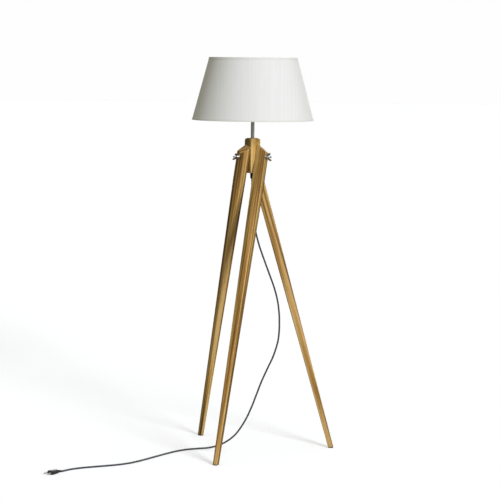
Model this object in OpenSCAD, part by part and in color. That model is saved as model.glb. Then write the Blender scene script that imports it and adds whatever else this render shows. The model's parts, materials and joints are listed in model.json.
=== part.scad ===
// Tripod floor lamp: a fabric shade on a metal stem, a wooden hub and three tapered wooden legs,
// each clamped to a side of the hub by a bolt and a wing nut, so that the legs fold together.
// Millimetres. The origin is where the lamp's axis meets the floor, +Z is up, and the first leg's
// foot points to +X.

/* [Shade] */
// Outer diameter of the shade at its top edge
shade_top_d = 326; // [260:1:400]
// Outer diameter of the shade at its bottom edge
shade_bottom_d = 450; // [380:1:560]
// Height of the shade
shade_h = 230; // [180:1:290]
// Thickness of the shade's fabric with its lining
shade_t = 1.5; // [1:0.1:2.5]
// Width of the tape hem along each edge
hem_h = 8; // [5:1:14]
// Thickness of the tape hem
hem_t = 0.6; // [0.4:0.1:1]
// Diameter of the two wire rings inside the shade
ring_wire_d = 4; // [3:0.5:6]
// Diameter of the fitter's three spokes
spoke_d = 3.2; // [2:0.2:5]

/* [Stem] */
// Length of stem that shows between the hub and the shade
stem_gap = 67; // [40:1:120]
// Outer diameter of the stem tube
stem_d = 13.5; // [12:0.5:18]
// Depth of the stem's seat in the hub
stem_seat = 20; // [12:1:30]
// Outer diameter of the hollow threaded rod inside the stem
rod_d = 10; // [8:0.5:10.5]
// Diameter of the cable that runs inside the rod
inner_cable_d = 6; // [4:0.5:6.5]

/* [Hub] */
// Height of the wooden hub
hub_h = 129; // [110:1:165]
// Distance from the lamp's axis to the wide faces that carry the legs
hub_face = 22; // [20:0.5:34]
// Distance from the lamp's axis to the narrow faces between them
hub_corner = 29; // [25:0.5:40]
// Radius of the turned round along the hub's top edge
hub_round = 12; // [6:1:16]
// Height of the leg bolts above the hub's bottom face
bolt_rise = 61; // [50:1:80]

/* [Legs] */
// Height of the leg bolts above the floor
bolt_h = 1103; // [850:1:1350]
// How far each foot's centre stands out from its bolt, along the leg's own swing
foot_spread = 310; // [230:1:400]
// Width of the leg's head, across its bolt
head_w = 38; // [34:1:50]
// Thickness of the leg's head, along its bolt
head_t = 35; // [28:1:45]
// Width of the leg at the floor
foot_w = 19; // [15:1:30]
// Thickness of the leg at the floor
foot_t = 17; // [14:1:28]
// How far the leg's top edge at the hub stands above the bolt
head_up = 42; // [36:1:48]
// Drop of the leg's slanted top from the hub side to the outer side
head_drop = 25; // [10:1:27]
// Length of the straight head below the bolt, before the leg tapers
head_down = 95; // [70:1:160]
// Thickness of the felt pad under each foot
pad_t = 3; // [2:0.5:5]
// Inset of the felt pad from the foot's edges
pad_inset = 0.8; // [0:0.1:2]

/* [Leg hardware] */
// Diameter of the leg bolts
bolt_d = 6; // [5:0.5:8]
// Diameter of the metal washer under each wing nut
washer_d = 18; // [14:1:24]
// Thickness of the metal washer
washer_t = 1.6; // [1:0.1:2.5]
// Diameter of the friction washer between hub and leg
friction_d = 24; // [18:1:30]
// Thickness of the friction washer
friction_t = 1; // [0.5:0.1:2]
// Span across the wing nut's wings
wing_span = 33; // [26:1:40]
// Height of the wing nut, from its face to the wing tips
wing_h = 20; // [14:1:22]
// Diameter of the wing nut's boss
boss_d = 13; // [11:0.5:16]
// Radial clearance where a piece turns on a bolt or pin
run_clear = 0.08; // [0.05:0.01:0.1]

/* [Lampholder] */
// Outer diameter of the lampholder's base cup
holder_d = 38; // [36:0.5:46]
// Height of the base cup
holder_base_h = 34; // [30:1:44]
// Outer diameter of the threaded mantle above the cup
mantle_d = 39.4; // [38:0.2:44]
// Height of the mantle
mantle_h = 30; // [28:1:40]
// Outer diameter of the two shade rings
shade_ring_d = 57; // [52:1:66]
// Length of the screw cap of the bulb
bulb_cap_h = 23.5; // [22:0.5:27]
// Diameter of the bulb's screw cap
bulb_cap_d = 26.4; // [26:0.1:26.6]
// Largest diameter of the bulb's glass
bulb_d = 60; // [45:1:80]
// Height of the bulb's glass
bulb_h = 82; // [70:1:95]

/* [Cord] */
// Diameter of the textile cord
cord_d = 6.6; // [5:0.1:7]
// Diameter of the cord gland under the hub
gland_d = 15; // [11:0.5:18]
// Length of the cord gland
gland_h = 22; // [18:1:30]
// Length of the plug's body
plug_l = 35; // [30:1:40]
// Width of the plug's body
plug_w = 26; // [24:1:30]
// Height of the plug's body
plug_h = 13.7; // [12:0.1:16]
// Length of the tapered sleeve where the cord enters the plug
plug_sleeve_l = 24; // [18:1:35]
// Distance between the plug's pins
pin_pitch = 18.6; // [18:0.1:19]
// Length of the plug's pins
pin_l = 19; // [18:0.1:19.5]
// Diameter of the plug's pins
pin_d = 4; // [3.9:0.05:4.1]

/* [Hidden] */
$fn = 64;

// Static clearance between round pieces that stand still against each other
fit = 0.05;

// Directions of the three legs about the lamp's axis, and how far each wing nut is turned at rest
RIGHT = 0;
LEFT = 120;
FRONT = 240;
nut_turn_right = 120;
nut_turn_left = 49;
nut_turn_front = 107;

// Heights
hub_z = bolt_h - bolt_rise;
hub_top = hub_z + hub_h;
shade_z = hub_top + stem_gap;
shade_top = shade_z + shade_h;
gland_z = hub_z - gland_h;

// Hub's outline: three wide faces for the legs and three narrow ones between them
hub_outline = [for (a = [90, 210, 330]) each [
    corner(a, hub_face, hub_corner), corner(a + 60, hub_corner, hub_face)]];
hub_r = norm(hub_outline[0]);

// Rod and gland: the rod's bore, how far the gland grips the rod, and the gland's tapered sleeve
rod_bore_r = inner_cable_d / 2 + 0.5;
gland_grip = 10;
sleeve_h = 7;
sleeve_step = 0.4;
sleeve_taper = 1;

// Legs, in the swing plane: x outwards, z up, the bolt at the origin
leg_angle = atan2(foot_spread, bolt_h);
leg_len = norm([foot_spread, bolt_h]);
leg_in = hub_face + friction_t;
leg_mid = leg_in + head_t / 2;
leg_out = leg_in + head_t;
thin_from = head_down + 5;
down = [sin(leg_angle), -cos(leg_angle)];
across = [cos(leg_angle), sin(leg_angle)];
pad_top = pad_t - bolt_h;

// Bolts and wing nuts, measured outwards along the bolt
bolt_start = 7;
bolt_past = 22;
bolt_chamfer = 1;
nut_face = leg_out + washer_t;
bolt_end = nut_face + bolt_past;

// Wing nut: thickness of a wing, radius of its tip, and the boss's height and taper
wing_t = 3;
wing_tip_r = 4;
boss_h = wing_h / 2;
boss_taper = 1.2;

// Lampholder, upwards from the stem's top
holder_z = shade_z + 20;
cup_cone_h = 8;
mantle_z = holder_z + holder_base_h;
insert_z = mantle_z - 4;
insert_h = 8;
contact_h = 2.5;
chamber_r = 10.5;
insert_r = bulb_cap_d / 2 + 0.8;
rod_grip = 12;
sleeve_t = 0.5;
lower_ring_z = mantle_z + 7;
shade_ring_h = 5;
fitter_z = lower_ring_z + shade_ring_h;
fitter_t = 2.5;
cap_z = insert_z + insert_h + contact_h;
glass_z = cap_z + bulb_cap_h;
glass_t = 1;
cap_t = 0.6;
cap_tip_r = 4.5;
cap_tip_h = 1;
cap_cone_r = 6;
cap_cone_h = 3;
neck_r = bulb_cap_d / 2;
ball_z = glass_z + bulb_h - bulb_d / 2;
stick_h = 34;
stick_r = 1;
stick_lean = 12;
stalk_r = 3;

// Wire rings: heights and radii of their middles, just inside the fabric, and the directions of the spokes
wire_gap = 0.6;
wire_z = shade_z + ring_wire_d / 2 + 1;
wire_r = radius_at(wire_z) - shade_t - ring_wire_d / 2 - wire_gap;
top_wire_z = shade_top - ring_wire_d / 2 - 1;
top_wire_r = radius_at(top_wire_z) - shade_t - ring_wire_d / 2 - wire_gap;
SPOKES = [30, 150, 270];

// Rocker switch in the front of the base cup
rocker_pin = [0, 2.2 - holder_d / 2, holder_z + 21];
rocker_w = 8;
rocker_h = 13;
rocker_r = 4.6;
rocker_tilt = 10;
pocket_w = rocker_w + 1.2;
pocket_h = 15.5;
pocket_d = 5.2;
rocker_pin_d = 1.6;

// Cord: route of its centre line from the gland down to the floor and along it to the plug
floor_z = 3.4;
route = [
    [0, 0, 1020], [0, 0, 1000], [0, 1, 970], [2, 4, 920], [7, 8, 870], [16, 11, 820], [30, 13, 768],
    [49, 12, 715], [69, 9, 662], [88, 5, 610], [102, 2, 555], [108, 0, 492], [105, 0, 420],
    [88, 1, 358], [66, 2, 308], [44, 2, 258], [26, -1, 210], [6, -17, 160], [-18, -35, 112],
    [-54, -46, 62], [-100, -43, 28], [-146, -33, 11], [-192, -26, 5], [-236, -40, floor_z],
    [-272, -72, floor_z], [-302, -110, floor_z], [-344, -170, floor_z], [-374, -214, floor_z],
    [-402, -252, floor_z], [-434, -288, floor_z], [-472, -315, floor_z], [-512, -335, floor_z],
    [-553, -353, floor_z], [-594, -372, floor_z], [-631, -397, floor_z], [-660, -430, floor_z]
];
cord_steps = 2;
cord_sides = 8;

// A point of the smooth curve through four points, at the share t from b to c
function smooth(a, b, c, d, t) =
    0.5 * (2 * b + (c - a) * t + (2 * a - 5 * b + 4 * c - d) * t * t
           + (3 * b - a - 3 * c + d) * t * t * t);

// The route with cord_steps points for each stretch, its ends led straight on
function fine_route(p) =
    let (
        n = len(p),
        q = concat([2 * p[0] - p[1]], p, [2 * p[n - 1] - p[n - 2]])
    )
    concat(
        [for (i = [0 : n - 2]) for (j = [0 : cord_steps - 1])
            smooth(q[i], q[i + 1], q[i + 2], q[i + 3], j / cord_steps)],
        [p[n - 1]]
    );

function unit(v) = v / norm(v);

// Direction of a path at each of its points
function headings(p) =
    let (n = len(p))
    [for (i = [0 : n - 1])
        i == 0 ? unit(p[1] - p[0]) : i == n - 1 ? unit(p[n - 1] - p[n - 2]) : unit(p[i + 1] - p[i - 1])];

// A side direction for each point, carried along the path without twist
function sides(t, i = 0, s = [[0, -1, 0]]) =
    i == len(t) - 1 ? s
    : let (last = s[i], next = unit(last - (last * t[i + 1]) * t[i + 1]))
      sides(t, i + 1, concat(s, [next]));

// A tube of diameter d through the points of p
module tube(p, d) {
    t = headings(p);
    s = sides(t);
    n = len(p);
    k = cord_sides;
    rings = [for (i = [0 : n - 1]) for (j = [0 : k - 1])
        let (a = 360 * (j + 0.5) / k)
        p[i] + d / 2 * (cos(a) * s[i] + sin(a) * cross(t[i], s[i]))];
    walls = [for (i = [0 : n - 2]) for (j = [0 : k - 1])
        let (m = (j + 1) % k)
        each [[i * k + j, (i + 1) * k + m, i * k + m], [i * k + j, (i + 1) * k + j, (i + 1) * k + m]]];
    start = [for (j = [0 : k - 1]) j];
    end = [for (j = [k - 1 : -1 : 0]) (n - 1) * k + j];
    polyhedron(rings, concat(walls, [start, end]));
}

// The children in a leg's own place: x outwards in its swing plane, y along its bolt, bolt at z = 0
module at_leg(a) {
    rotate([0, 0, a]) translate([0, 0, bolt_h]) children();
}

// A rod along y between two distances from the lamp's axis
module along_bolt(from, to, r) {
    translate([0, to, 0]) rotate([90, 0, 0]) cylinder(h = to - from, r = r);
}

function radius_at(z) = (shade_bottom_d + (shade_top_d - shade_bottom_d) * (z - shade_z) / shade_h) / 2;

// Where two of the hub's faces meet
function corner(a, d1, d2) =
    // where the line at distance d1 with normal a meets the line at distance d2 with normal a + 60
    let (c = (d2 - d1 * cos(60)) / sin(60))
    [d1 * cos(a) - c * sin(a), d1 * sin(a) + c * cos(a)];

module hub() {
    color("peru") difference() {
        intersection() {
            translate([0, 0, hub_z]) linear_extrude(hub_h) polygon(hub_outline);
            translate([0, 0, hub_z]) rotate_extrude($fn = 96) {
                square([hub_r + fit, hub_h - hub_round]);
                square([hub_r + fit - hub_round, hub_h]);
                translate([hub_r + fit - hub_round, hub_h - hub_round]) circle(r = hub_round);
            }
        }
        translate([0, 0, hub_z - 1]) cylinder(h = hub_h + 2, r = rod_d / 2 + fit);
        translate([0, 0, hub_top - stem_seat]) cylinder(h = stem_seat + 1, r = stem_d / 2 + fit);
        for (a = [RIGHT, LEFT, FRONT]) at_leg(a) along_bolt(bolt_start, hub_corner + 10, bolt_d / 2 + fit);
    }
}

module pivot_bolts() {
    color("silver") for (a = [RIGHT, LEFT, FRONT]) at_leg(a) {
        along_bolt(bolt_start, bolt_end - bolt_chamfer, bolt_d / 2);
        translate([0, bolt_end - bolt_chamfer, 0]) rotate([-90, 0, 0])
            cylinder(h = bolt_chamfer, r1 = bolt_d / 2, r2 = bolt_d / 2 - bolt_chamfer);
    }
}

module washer(from, t, d, hole) {
    difference() {
        along_bolt(from, from + t, d / 2);
        along_bolt(from - 1, from + t + 1, hole / 2);
    }
}

module friction_washers() {
    color("dimgray") for (a = [RIGHT, LEFT, FRONT]) at_leg(a)
        washer(hub_face, friction_t, friction_d, bolt_d + 2 * fit);
}

module outer_washers() {
    color("gainsboro") for (a = [RIGHT, LEFT, FRONT]) at_leg(a)
        washer(leg_out, washer_t, washer_d, bolt_d + 2 * fit);
}

// A point on the leg's edge: s down from the bolt along the leg, w across it
function on_leg(s, w) = s * down + w * across;
// The point where the line from p to q comes to height z
function at_height(p, q, z) = p + (q - p) * (z - p[1]) / (q[1] - p[1]);

// The leg at its bolt: a wide outline seen along the bolt, and a narrow one seen across it
module leg_shape() {
    head = head_w / 2;
    foot = foot_w / 2;
    past = 20;
    foot_half = foot_t / 2 - (head_t - foot_t) / 2 * past / (leg_len - thin_from);
    intersection() {
        translate([0, leg_out + 1, 0]) rotate([90, 0, 0]) linear_extrude(head_t + 2) polygon([
            on_leg(-head_up, head), on_leg(head_down, head),
            at_height(on_leg(head_down, head), on_leg(leg_len, foot), pad_top),
            at_height(on_leg(head_down, -head), on_leg(leg_len, -foot), pad_top),
            on_leg(head_down, -head), on_leg(-head_up, -head)
        ]);
        rotate([0, -leg_angle, 0]) translate([-head_w, 0, 0]) rotate([90, 0, 90])
            linear_extrude(2 * head_w) polygon([
                [leg_in, head_up], [leg_in, -thin_from], [leg_mid - foot_half, -leg_len - past],
                [leg_mid + foot_half, -leg_len - past], [leg_out, -thin_from],
                [leg_out, head_up - head_drop]
            ]);
    }
}

module leg(a) {
    color("burlywood") at_leg(a) difference() {
        leg_shape();
        along_bolt(leg_in - 2, leg_out + 2, bolt_d / 2 + run_clear);
    }
}

module leg_right() { leg(RIGHT); }
module leg_left() { leg(LEFT); }
module leg_front() { leg(FRONT); }

// The felt pad has the outline of the foot's level cut, a little smaller
module foot_pad(a) {
    head = head_w / 2;
    foot = foot_w / 2;
    outer = at_height(on_leg(head_down, head), on_leg(leg_len, foot), pad_top)[0] - pad_inset;
    inner = at_height(on_leg(head_down, -head), on_leg(leg_len, -foot), pad_top)[0] + pad_inset;
    across_w = foot_t - 2 * pad_inset;
    color("saddlebrown") at_leg(a) translate([inner, leg_mid - across_w / 2, -bolt_h])
        cube([outer - inner, across_w, pad_t]);
}

module foot_pad_right() { foot_pad(RIGHT); }
module foot_pad_left() { foot_pad(LEFT); }
module foot_pad_front() { foot_pad(FRONT); }

// A wing nut on its bolt, turned by the given angle: a tapered boss and two flared wings
module wing_nut(a, turn) {
    tip_r = wing_tip_r;
    color("lightgray") at_leg(a) translate([0, nut_face, 0]) rotate([-90, 0, 0]) rotate([0, 0, turn])
        difference() {
        union() {
            cylinder(h = boss_h, r1 = boss_d / 2, r2 = boss_d / 2 - boss_taper);
            for (side = [-1, 1]) hull() {
                translate([side * boss_d / 3, wing_t / 2, boss_h / 2]) rotate([90, 0, 0])
                    cylinder(h = wing_t, r = boss_h / 2 - 0.3, $fn = 24);
                translate([side * (wing_span / 2 - tip_r), wing_t / 2, wing_h - tip_r]) rotate([90, 0, 0])
                    cylinder(h = wing_t, r = tip_r, $fn = 24);
            }
        }
        translate([0, 0, -1]) cylinder(h = wing_h + 2, r = bolt_d / 2 + run_clear);
    }
}

module wing_nut_right() { wing_nut(RIGHT, nut_turn_right); }
module wing_nut_left() { wing_nut(LEFT, nut_turn_left); }
module wing_nut_front() { wing_nut(FRONT, nut_turn_front); }

// A ring about the lamp's axis between two heights
module ring(z, h, r_out, r_in) {
    translate([0, 0, z]) difference() {
        cylinder(h = h, r = r_out);
        translate([0, 0, -1]) cylinder(h = h + 2, r = r_in);
    }
}

module stem_tube() {
    color("silver") ring(hub_top - stem_seat, stem_seat + holder_z - hub_top, stem_d / 2, rod_d / 2 + fit);
}

module threaded_rod() {
    rod_z = gland_z + gland_h - gland_grip;
    color("darkgray") ring(rod_z, holder_z + rod_grip - rod_z, rod_d / 2, rod_bore_r);
}

module cord_gland() {
    sleeve_r = gland_d / 2 - sleeve_step;
    color("black") difference() {
        union() {
            translate([0, 0, gland_z + sleeve_h]) cylinder(h = gland_h - sleeve_h, r = gland_d / 2);
            translate([0, 0, gland_z])
                cylinder(h = sleeve_h, r1 = sleeve_r - sleeve_taper, r2 = sleeve_r);
        }
        translate([0, 0, hub_z - gland_grip]) cylinder(h = gland_grip + 1, r = rod_d / 2 + fit);
        translate([0, 0, gland_z - 1]) cylinder(h = gland_h, r = inner_cable_d / 2 + fit);
    }
}

module inner_cable() {
    color("dimgray") translate([0, 0, gland_z])
        cylinder(h = holder_z + rod_grip + 10 - gland_z, r = inner_cable_d / 2);
}

// The base cup, with a terminal chamber and a pocket for the rocker in its front
module holder_base() {
    color("white") difference() {
        union() {
            translate([0, 0, holder_z]) cylinder(h = cup_cone_h, r1 = stem_d / 2 + 2, r2 = holder_d / 2);
            translate([0, 0, holder_z + cup_cone_h])
                cylinder(h = holder_base_h - cup_cone_h, r = holder_d / 2);
        }
        translate([0, 0, holder_z - 1]) cylinder(h = rod_grip + 2, r = rod_d / 2 + fit);
        translate([0, 0, holder_z + rod_grip])
            cylinder(h = insert_z - holder_z - rod_grip + 1, r = chamber_r);
        translate([0, 0, insert_z]) cylinder(h = holder_base_h, r = insert_r + fit);
        translate(rocker_pin + [-pocket_w / 2, -10, -pocket_h / 2])
            cube([pocket_w, 10 + pocket_d, pocket_h]);
        translate(rocker_pin + [-pocket_w / 2 - 2, 0, 0]) rotate([0, 90, 0])
            cylinder(h = pocket_w + 4, r = rocker_pin_d / 2 + run_clear);
    }
}

// The rocker rests tilted, off, and tips the other way to switch on
module switch_rocker() {
    color("whitesmoke") translate(rocker_pin) rotate([-rocker_tilt, 0, 0]) {
        intersection() {
            translate([-rocker_w / 2, 0, 0]) rotate([0, 90, 0]) cylinder(h = rocker_w, r = rocker_r);
            translate([-rocker_w, -1, -rocker_h]) cube([2 * rocker_w, 10, 2 * rocker_h]);
        }
        translate([-rocker_w / 2, 0, 0]) rotate([90, 0, 90]) linear_extrude(rocker_w) polygon([
            [0, rocker_h / 2], [-3.6, rocker_h / 2], [-2.4, 0], [-3.6, -rocker_h / 2], [0, -rocker_h / 2]
        ]);
        translate([-pocket_w / 2 - 1.6, 0, 0]) rotate([0, 90, 0])
            cylinder(h = pocket_w + 3.2, r = rocker_pin_d / 2);
    }
}

module holder_insert() {
    color("ivory") translate([0, 0, insert_z]) cylinder(h = insert_h, r = insert_r);
}

module centre_contact() {
    color("gold") translate([0, 0, insert_z + insert_h]) cylinder(h = contact_h, r1 = 5, r2 = 2.5);
}

module screw_sleeve() {
    sleeve_low = insert_z + insert_h;
    color("gold") ring(sleeve_low, mantle_z + mantle_h - 2 - sleeve_low, insert_r, insert_r - sleeve_t);
}

module holder_mantle() {
    color("white") ring(mantle_z, mantle_h, mantle_d / 2, insert_r + fit);
}

module shade_ring_lower() {
    color("white") ring(lower_ring_z, shade_ring_h, shade_ring_d / 2, mantle_d / 2 + fit);
}

module shade_ring_upper() {
    color("white") ring(fitter_z + fitter_t, shade_ring_h, shade_ring_d / 2, mantle_d / 2 + fit);
}

// The fitter: a flat ring between the shade rings and three spokes down to the bottom wire
module shade_fitter() {
    hub_ring_r = shade_ring_d / 2 - 1;
    start = [hub_ring_r - 3, fitter_z + fitter_t / 2];
    end = [wire_r - ring_wire_d / 2 - fit, wire_z];
    run = end - start;
    color("white") {
        ring(fitter_z, fitter_t, hub_ring_r + 4, mantle_d / 2 + 0.4);
        for (a = SPOKES) rotate([0, 0, a]) translate([start[0] + 5, 0, start[1]])
            rotate([0, 90 + atan2(-run[1], run[0]), 0])
            cylinder(h = norm(run) - 5, r = spoke_d / 2, $fn = 24);
    }
}

// A band that follows the shade's slope between two heights, from outer offset o1 to o2
module shade_band(z1, z2, o1, o2) {
    rotate_extrude($fn = 128) polygon([
        [radius_at(z1) + o1, z1], [radius_at(z2) + o1, z2],
        [radius_at(z2) + o2, z2], [radius_at(z1) + o2, z1]
    ]);
}

module shade_fabric() {
    color("linen") shade_band(shade_z, shade_top, -shade_t, 0);
}

module shade_hem_top() {
    color("antiquewhite") shade_band(shade_top - hem_h, shade_top, fit, fit + hem_t);
}

module shade_hem_bottom() {
    color("antiquewhite") shade_band(shade_z, shade_z + hem_h, fit, fit + hem_t);
}

module shade_wire(r, z) {
    color("white") translate([0, 0, z]) rotate_extrude($fn = 128)
        translate([r, 0]) circle(d = ring_wire_d, $fn = 24);
}

module shade_wire_top() { shade_wire(top_wire_r, top_wire_z); }
module shade_wire_bottom() { shade_wire(wire_r, wire_z); }

module bulb_cap() {
    color("silver") {
        wall_z = cap_z + cap_tip_h + cap_cone_h;
        ring(wall_z, glass_z - wall_z, bulb_cap_d / 2, bulb_cap_d / 2 - cap_t);
        translate([0, 0, cap_z + cap_tip_h]) cylinder(h = cap_cone_h, r1 = cap_cone_r, r2 = bulb_cap_d / 2);
        translate([0, 0, cap_z]) cylinder(h = cap_tip_h, r = cap_tip_r);
    }
}

// The bulb's outline: a neck that flares into a ball, as a smooth curve of angle t from 0 to 90
function glass_wall(inset) = concat(
    [for (t = [0 : 10 : 90]) [
        neck_r - inset + (bulb_d / 2 - neck_r) * (1 - cos(2 * t)) / 2,
        glass_z + (ball_z - glass_z) * t / 90
    ]],
    [for (t = [10 : 10 : 80]) [(bulb_d / 2 - inset) * cos(t), ball_z + (bulb_d / 2 - inset) * sin(t)]],
    [[0, ball_z + bulb_d / 2 - inset]]
);

module bulb_glass() {
    outer = glass_wall(0);
    inner = glass_wall(glass_t);
    color("aliceblue") rotate_extrude()
        polygon(concat(outer, [for (i = [len(inner) - 1 : -1 : 0]) inner[i]]));
}

module bulb_filament() {
    color("orange") {
        translate([0, 0, cap_z + 4]) cylinder(h = ball_z - cap_z - 8, r = stalk_r);
        for (a = [45 : 90 : 315]) rotate([0, 0, a]) translate([stalk_r, 0, ball_z - 22])
            rotate([0, stick_lean, 0]) cylinder(h = stick_h, r = stick_r, $fn = 16);
    }
}

module cord() {
    color("dimgray") tube(fine_route(route), cord_d);
}

// The plug's own place: x along the cord's last stretch, from the cord's end
module at_plug() {
    n = len(route);
    end = route[n - 1];
    d = end - route[n - 2];
    translate(end) rotate([0, 0, atan2(d[1], d[0])]) children();
}

module plug_body() {
    lift = plug_h / 2 - floor_z;
    grip_w = 13;
    front_l = 7;
    edge_cut = 3;
    color("black") at_plug() {
        hull() {
            rotate([0, 90, 0]) cylinder(h = 2, d = cord_d - 0.2, $fn = 32);
            translate([plug_sleeve_l - 2, 0, lift]) rotate([0, 90, 0])
                cylinder(h = 2, d = plug_h - 3, $fn = 32);
        }
        translate([0, 0, lift]) hull() {
            translate([plug_sleeve_l, -grip_w / 2, 1 - plug_h / 2]) cube([2, grip_w, plug_h - 2]);
            translate([plug_sleeve_l + plug_l - front_l, -plug_w / 2, edge_cut - plug_h / 2])
                cube([front_l, plug_w, plug_h - 2 * edge_cut]);
            translate([plug_sleeve_l + plug_l - front_l, edge_cut - plug_w / 2, -plug_h / 2])
                cube([front_l, plug_w - 2 * edge_cut, plug_h]);
        }
    }
}

module plug_pins() {
    color("silver") at_plug() for (side = [-1, 1])
        translate([plug_sleeve_l + plug_l, side * pin_pitch / 2, plug_h / 2 - floor_z]) rotate([0, 90, 0])
            cylinder(h = pin_l, d = pin_d);
}

hub();
pivot_bolts();
friction_washers();
outer_washers();
leg_right();
leg_left();
leg_front();
foot_pad_right();
foot_pad_left();
foot_pad_front();
wing_nut_right();
wing_nut_left();
wing_nut_front();
stem_tube();
threaded_rod();
cord_gland();
inner_cable();
holder_base();
holder_insert();
centre_contact();
screw_sleeve();
holder_mantle();
switch_rocker();
shade_ring_lower();
shade_ring_upper();
shade_fitter();
shade_fabric();
shade_wire_top();
shade_wire_bottom();
shade_hem_top();
shade_hem_bottom();
bulb_cap();
bulb_glass();
bulb_filament();
cord();
plug_body();
plug_pins();
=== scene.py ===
# %% [markdown]
# # Tripod floor lamp
# A fabric shade stands on a nickel stem, the stem stands in a wooden hub, and three tapered wooden legs
# are clamped to the hub by bolts and wing nuts. The engineering model fixes every size and every moving
# body, so this lesson only has to make the same pieces well: round their edges, cut their threads, weave
# their cloth and finish their surfaces. Lengths are in metres, +Z is up and the lamp stands on z = 0.

# %% The frame that everything is built around
import json
import math
from functools import partial
import bmesh
import bpy
from mathutils import Matrix, Vector


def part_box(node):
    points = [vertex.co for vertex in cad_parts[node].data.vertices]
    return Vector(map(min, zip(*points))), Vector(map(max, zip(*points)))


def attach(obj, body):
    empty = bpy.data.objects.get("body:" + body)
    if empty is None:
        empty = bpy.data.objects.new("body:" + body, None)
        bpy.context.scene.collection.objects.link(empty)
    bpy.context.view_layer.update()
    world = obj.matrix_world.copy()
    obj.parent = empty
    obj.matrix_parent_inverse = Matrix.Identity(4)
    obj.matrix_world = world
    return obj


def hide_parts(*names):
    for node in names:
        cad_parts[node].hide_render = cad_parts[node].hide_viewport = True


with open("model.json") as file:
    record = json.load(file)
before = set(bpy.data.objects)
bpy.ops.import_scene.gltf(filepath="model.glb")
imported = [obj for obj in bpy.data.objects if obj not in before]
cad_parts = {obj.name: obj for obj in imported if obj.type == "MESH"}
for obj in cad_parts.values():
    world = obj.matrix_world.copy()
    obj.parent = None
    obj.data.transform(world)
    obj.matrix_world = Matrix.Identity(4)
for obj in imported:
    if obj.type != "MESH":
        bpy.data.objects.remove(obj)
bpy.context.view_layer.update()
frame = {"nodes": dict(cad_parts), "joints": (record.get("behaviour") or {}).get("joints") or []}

# %% [markdown]
# ## Camera
# A long lens a good way off keeps the tall lamp from leaning outwards. The camera stands at about the
# height of the shade, looks slightly down and leans a little.

# %% Camera
CAMERA_PLACE = (0, -6.900, 1.4534)
LENS_MM = 133.9
TILT_DOWN = math.radians(5.79)
PAN = math.radians(0.04)
LEAN = math.radians(0.631)


def placed(name, data):
    """A new object in the scene that holds the data."""
    made = bpy.data.objects.new(name, data)
    bpy.context.scene.collection.objects.link(made)
    return made


camera = placed("camera", bpy.data.cameras.new("camera"))
camera.data.lens = LENS_MM
camera.data.sensor_width = 36
camera.matrix_world = (
    Matrix.Translation(CAMERA_PLACE)
    @ Matrix.Rotation(PAN, 4, "Z")
    @ Matrix.Rotation(math.radians(90) - TILT_DOWN, 4, "X")
    @ Matrix.Rotation(LEAN, 4, "Z")
)
bpy.context.scene.camera = camera
print("camera", round(camera.location.length, 2), "m from the foot of the lamp")

# %% [markdown]
# ## Helpers for node trees
# Materials and Geometry Nodes are both graphs of small steps. A few helpers keep them short: they add a
# node and fill its inputs, do arithmetic, start and end a Geometry Nodes tree with named inputs, and keep
# what a tree has grown as a plain mesh.


# %% Helpers for node trees
def add(tree, kind, inputs=None, **settings):
    """A new node, its settings made and its inputs filled with numbers or with other nodes' outputs."""
    node = tree.nodes.new(kind)
    for name, value in settings.items():
        setattr(node, name, value)
    for name, value in (inputs or {}).items():
        if isinstance(value, bpy.types.NodeSocket):
            tree.links.new(value, node.inputs[name])
        else:
            node.inputs[name].default_value = value
    return node


def calc(tree, operation, *values):
    """The result of one arithmetic step."""
    return add(tree, "ShaderNodeMath", dict(enumerate(values)), operation=operation).outputs[0]


KINDS = {"whole": "NodeSocketInt", "number": "NodeSocketFloat", "finish": "NodeSocketMaterial"}


def new_tree(name, **inputs):
    """A Geometry Nodes tree: its named inputs, and the node that holds them."""
    tree = bpy.data.node_groups.new(name, "GeometryNodeTree")
    tree.interface.new_socket(name="Geometry", in_out="INPUT", socket_type="NodeSocketGeometry")
    for label, kind in {**inputs, "Finish": "finish"}.items():
        tree.interface.new_socket(name=label.replace("_", " "), in_out="INPUT", socket_type=KINDS[kind])
    tree.interface.new_socket(name="Geometry", in_out="OUTPUT", socket_type="NodeSocketGeometry")
    return tree, tree.nodes.new("NodeGroupInput").outputs


def end_tree(tree, geometry, finish):
    """Ends a tree the way every tree here ends: instances made real, then the finish set."""
    real = add(tree, "GeometryNodeRealizeInstances", {"Geometry": geometry})
    done = add(tree, "GeometryNodeSetMaterial", {"Geometry": real.outputs[0], "Material": finish})
    add(tree, "NodeGroupOutput", {"Geometry": done.outputs[0]})


def applied(piece):
    """Works the piece's modifiers into its mesh and takes them off."""
    bpy.context.view_layer.update()
    graph = bpy.context.evaluated_depsgraph_get()
    worked = bpy.data.meshes.new_from_object(piece.evaluated_get(graph))
    piece.modifiers.clear()
    piece.data = worked
    return piece


def grown(name, tree, finish, start=None, **values):
    """Runs a tree on a starting mesh, or on an empty one, and keeps the result as a plain piece."""
    piece = placed(name, start or bpy.data.meshes.new(name))
    modifier = piece.modifiers.new("Grow", "NODES")
    modifier.node_group = tree
    for label, value in {**values, "Finish": finish}.items():
        socket = next(s for s in tree.interface.items_tree if s.name == label.replace("_", " "))
        modifier[socket.identifier] = value
    return smoothed(applied(piece))


def smoothed(piece, sharpest=32):
    """Smooth shading, with edges over so many degrees left crisp."""
    for face in piece.data.polygons:
        face.use_smooth = True
    piece.data.set_sharp_from_angle(angle=math.radians(sharpest))
    return piece


# %% [markdown]
# ## Helpers for meshes
# Turned pieces, tapered legs and bent wires are all the same thing to a modeller: rings of points with a
# skin over them. `skin` closes that skin, `turned` makes the rings of a lathe, and `softened` rounds the
# corners of the outline first, because no real edge is perfectly sharp.


# %% Helpers for meshes
MERGE = 0.000001


def mended(work):
    """Merges the points that coincide and takes out what has no area."""
    bmesh.ops.remove_doubles(work, verts=work.verts, dist=MERGE)
    bmesh.ops.dissolve_degenerate(work, edges=work.edges, dist=MERGE)


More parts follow.
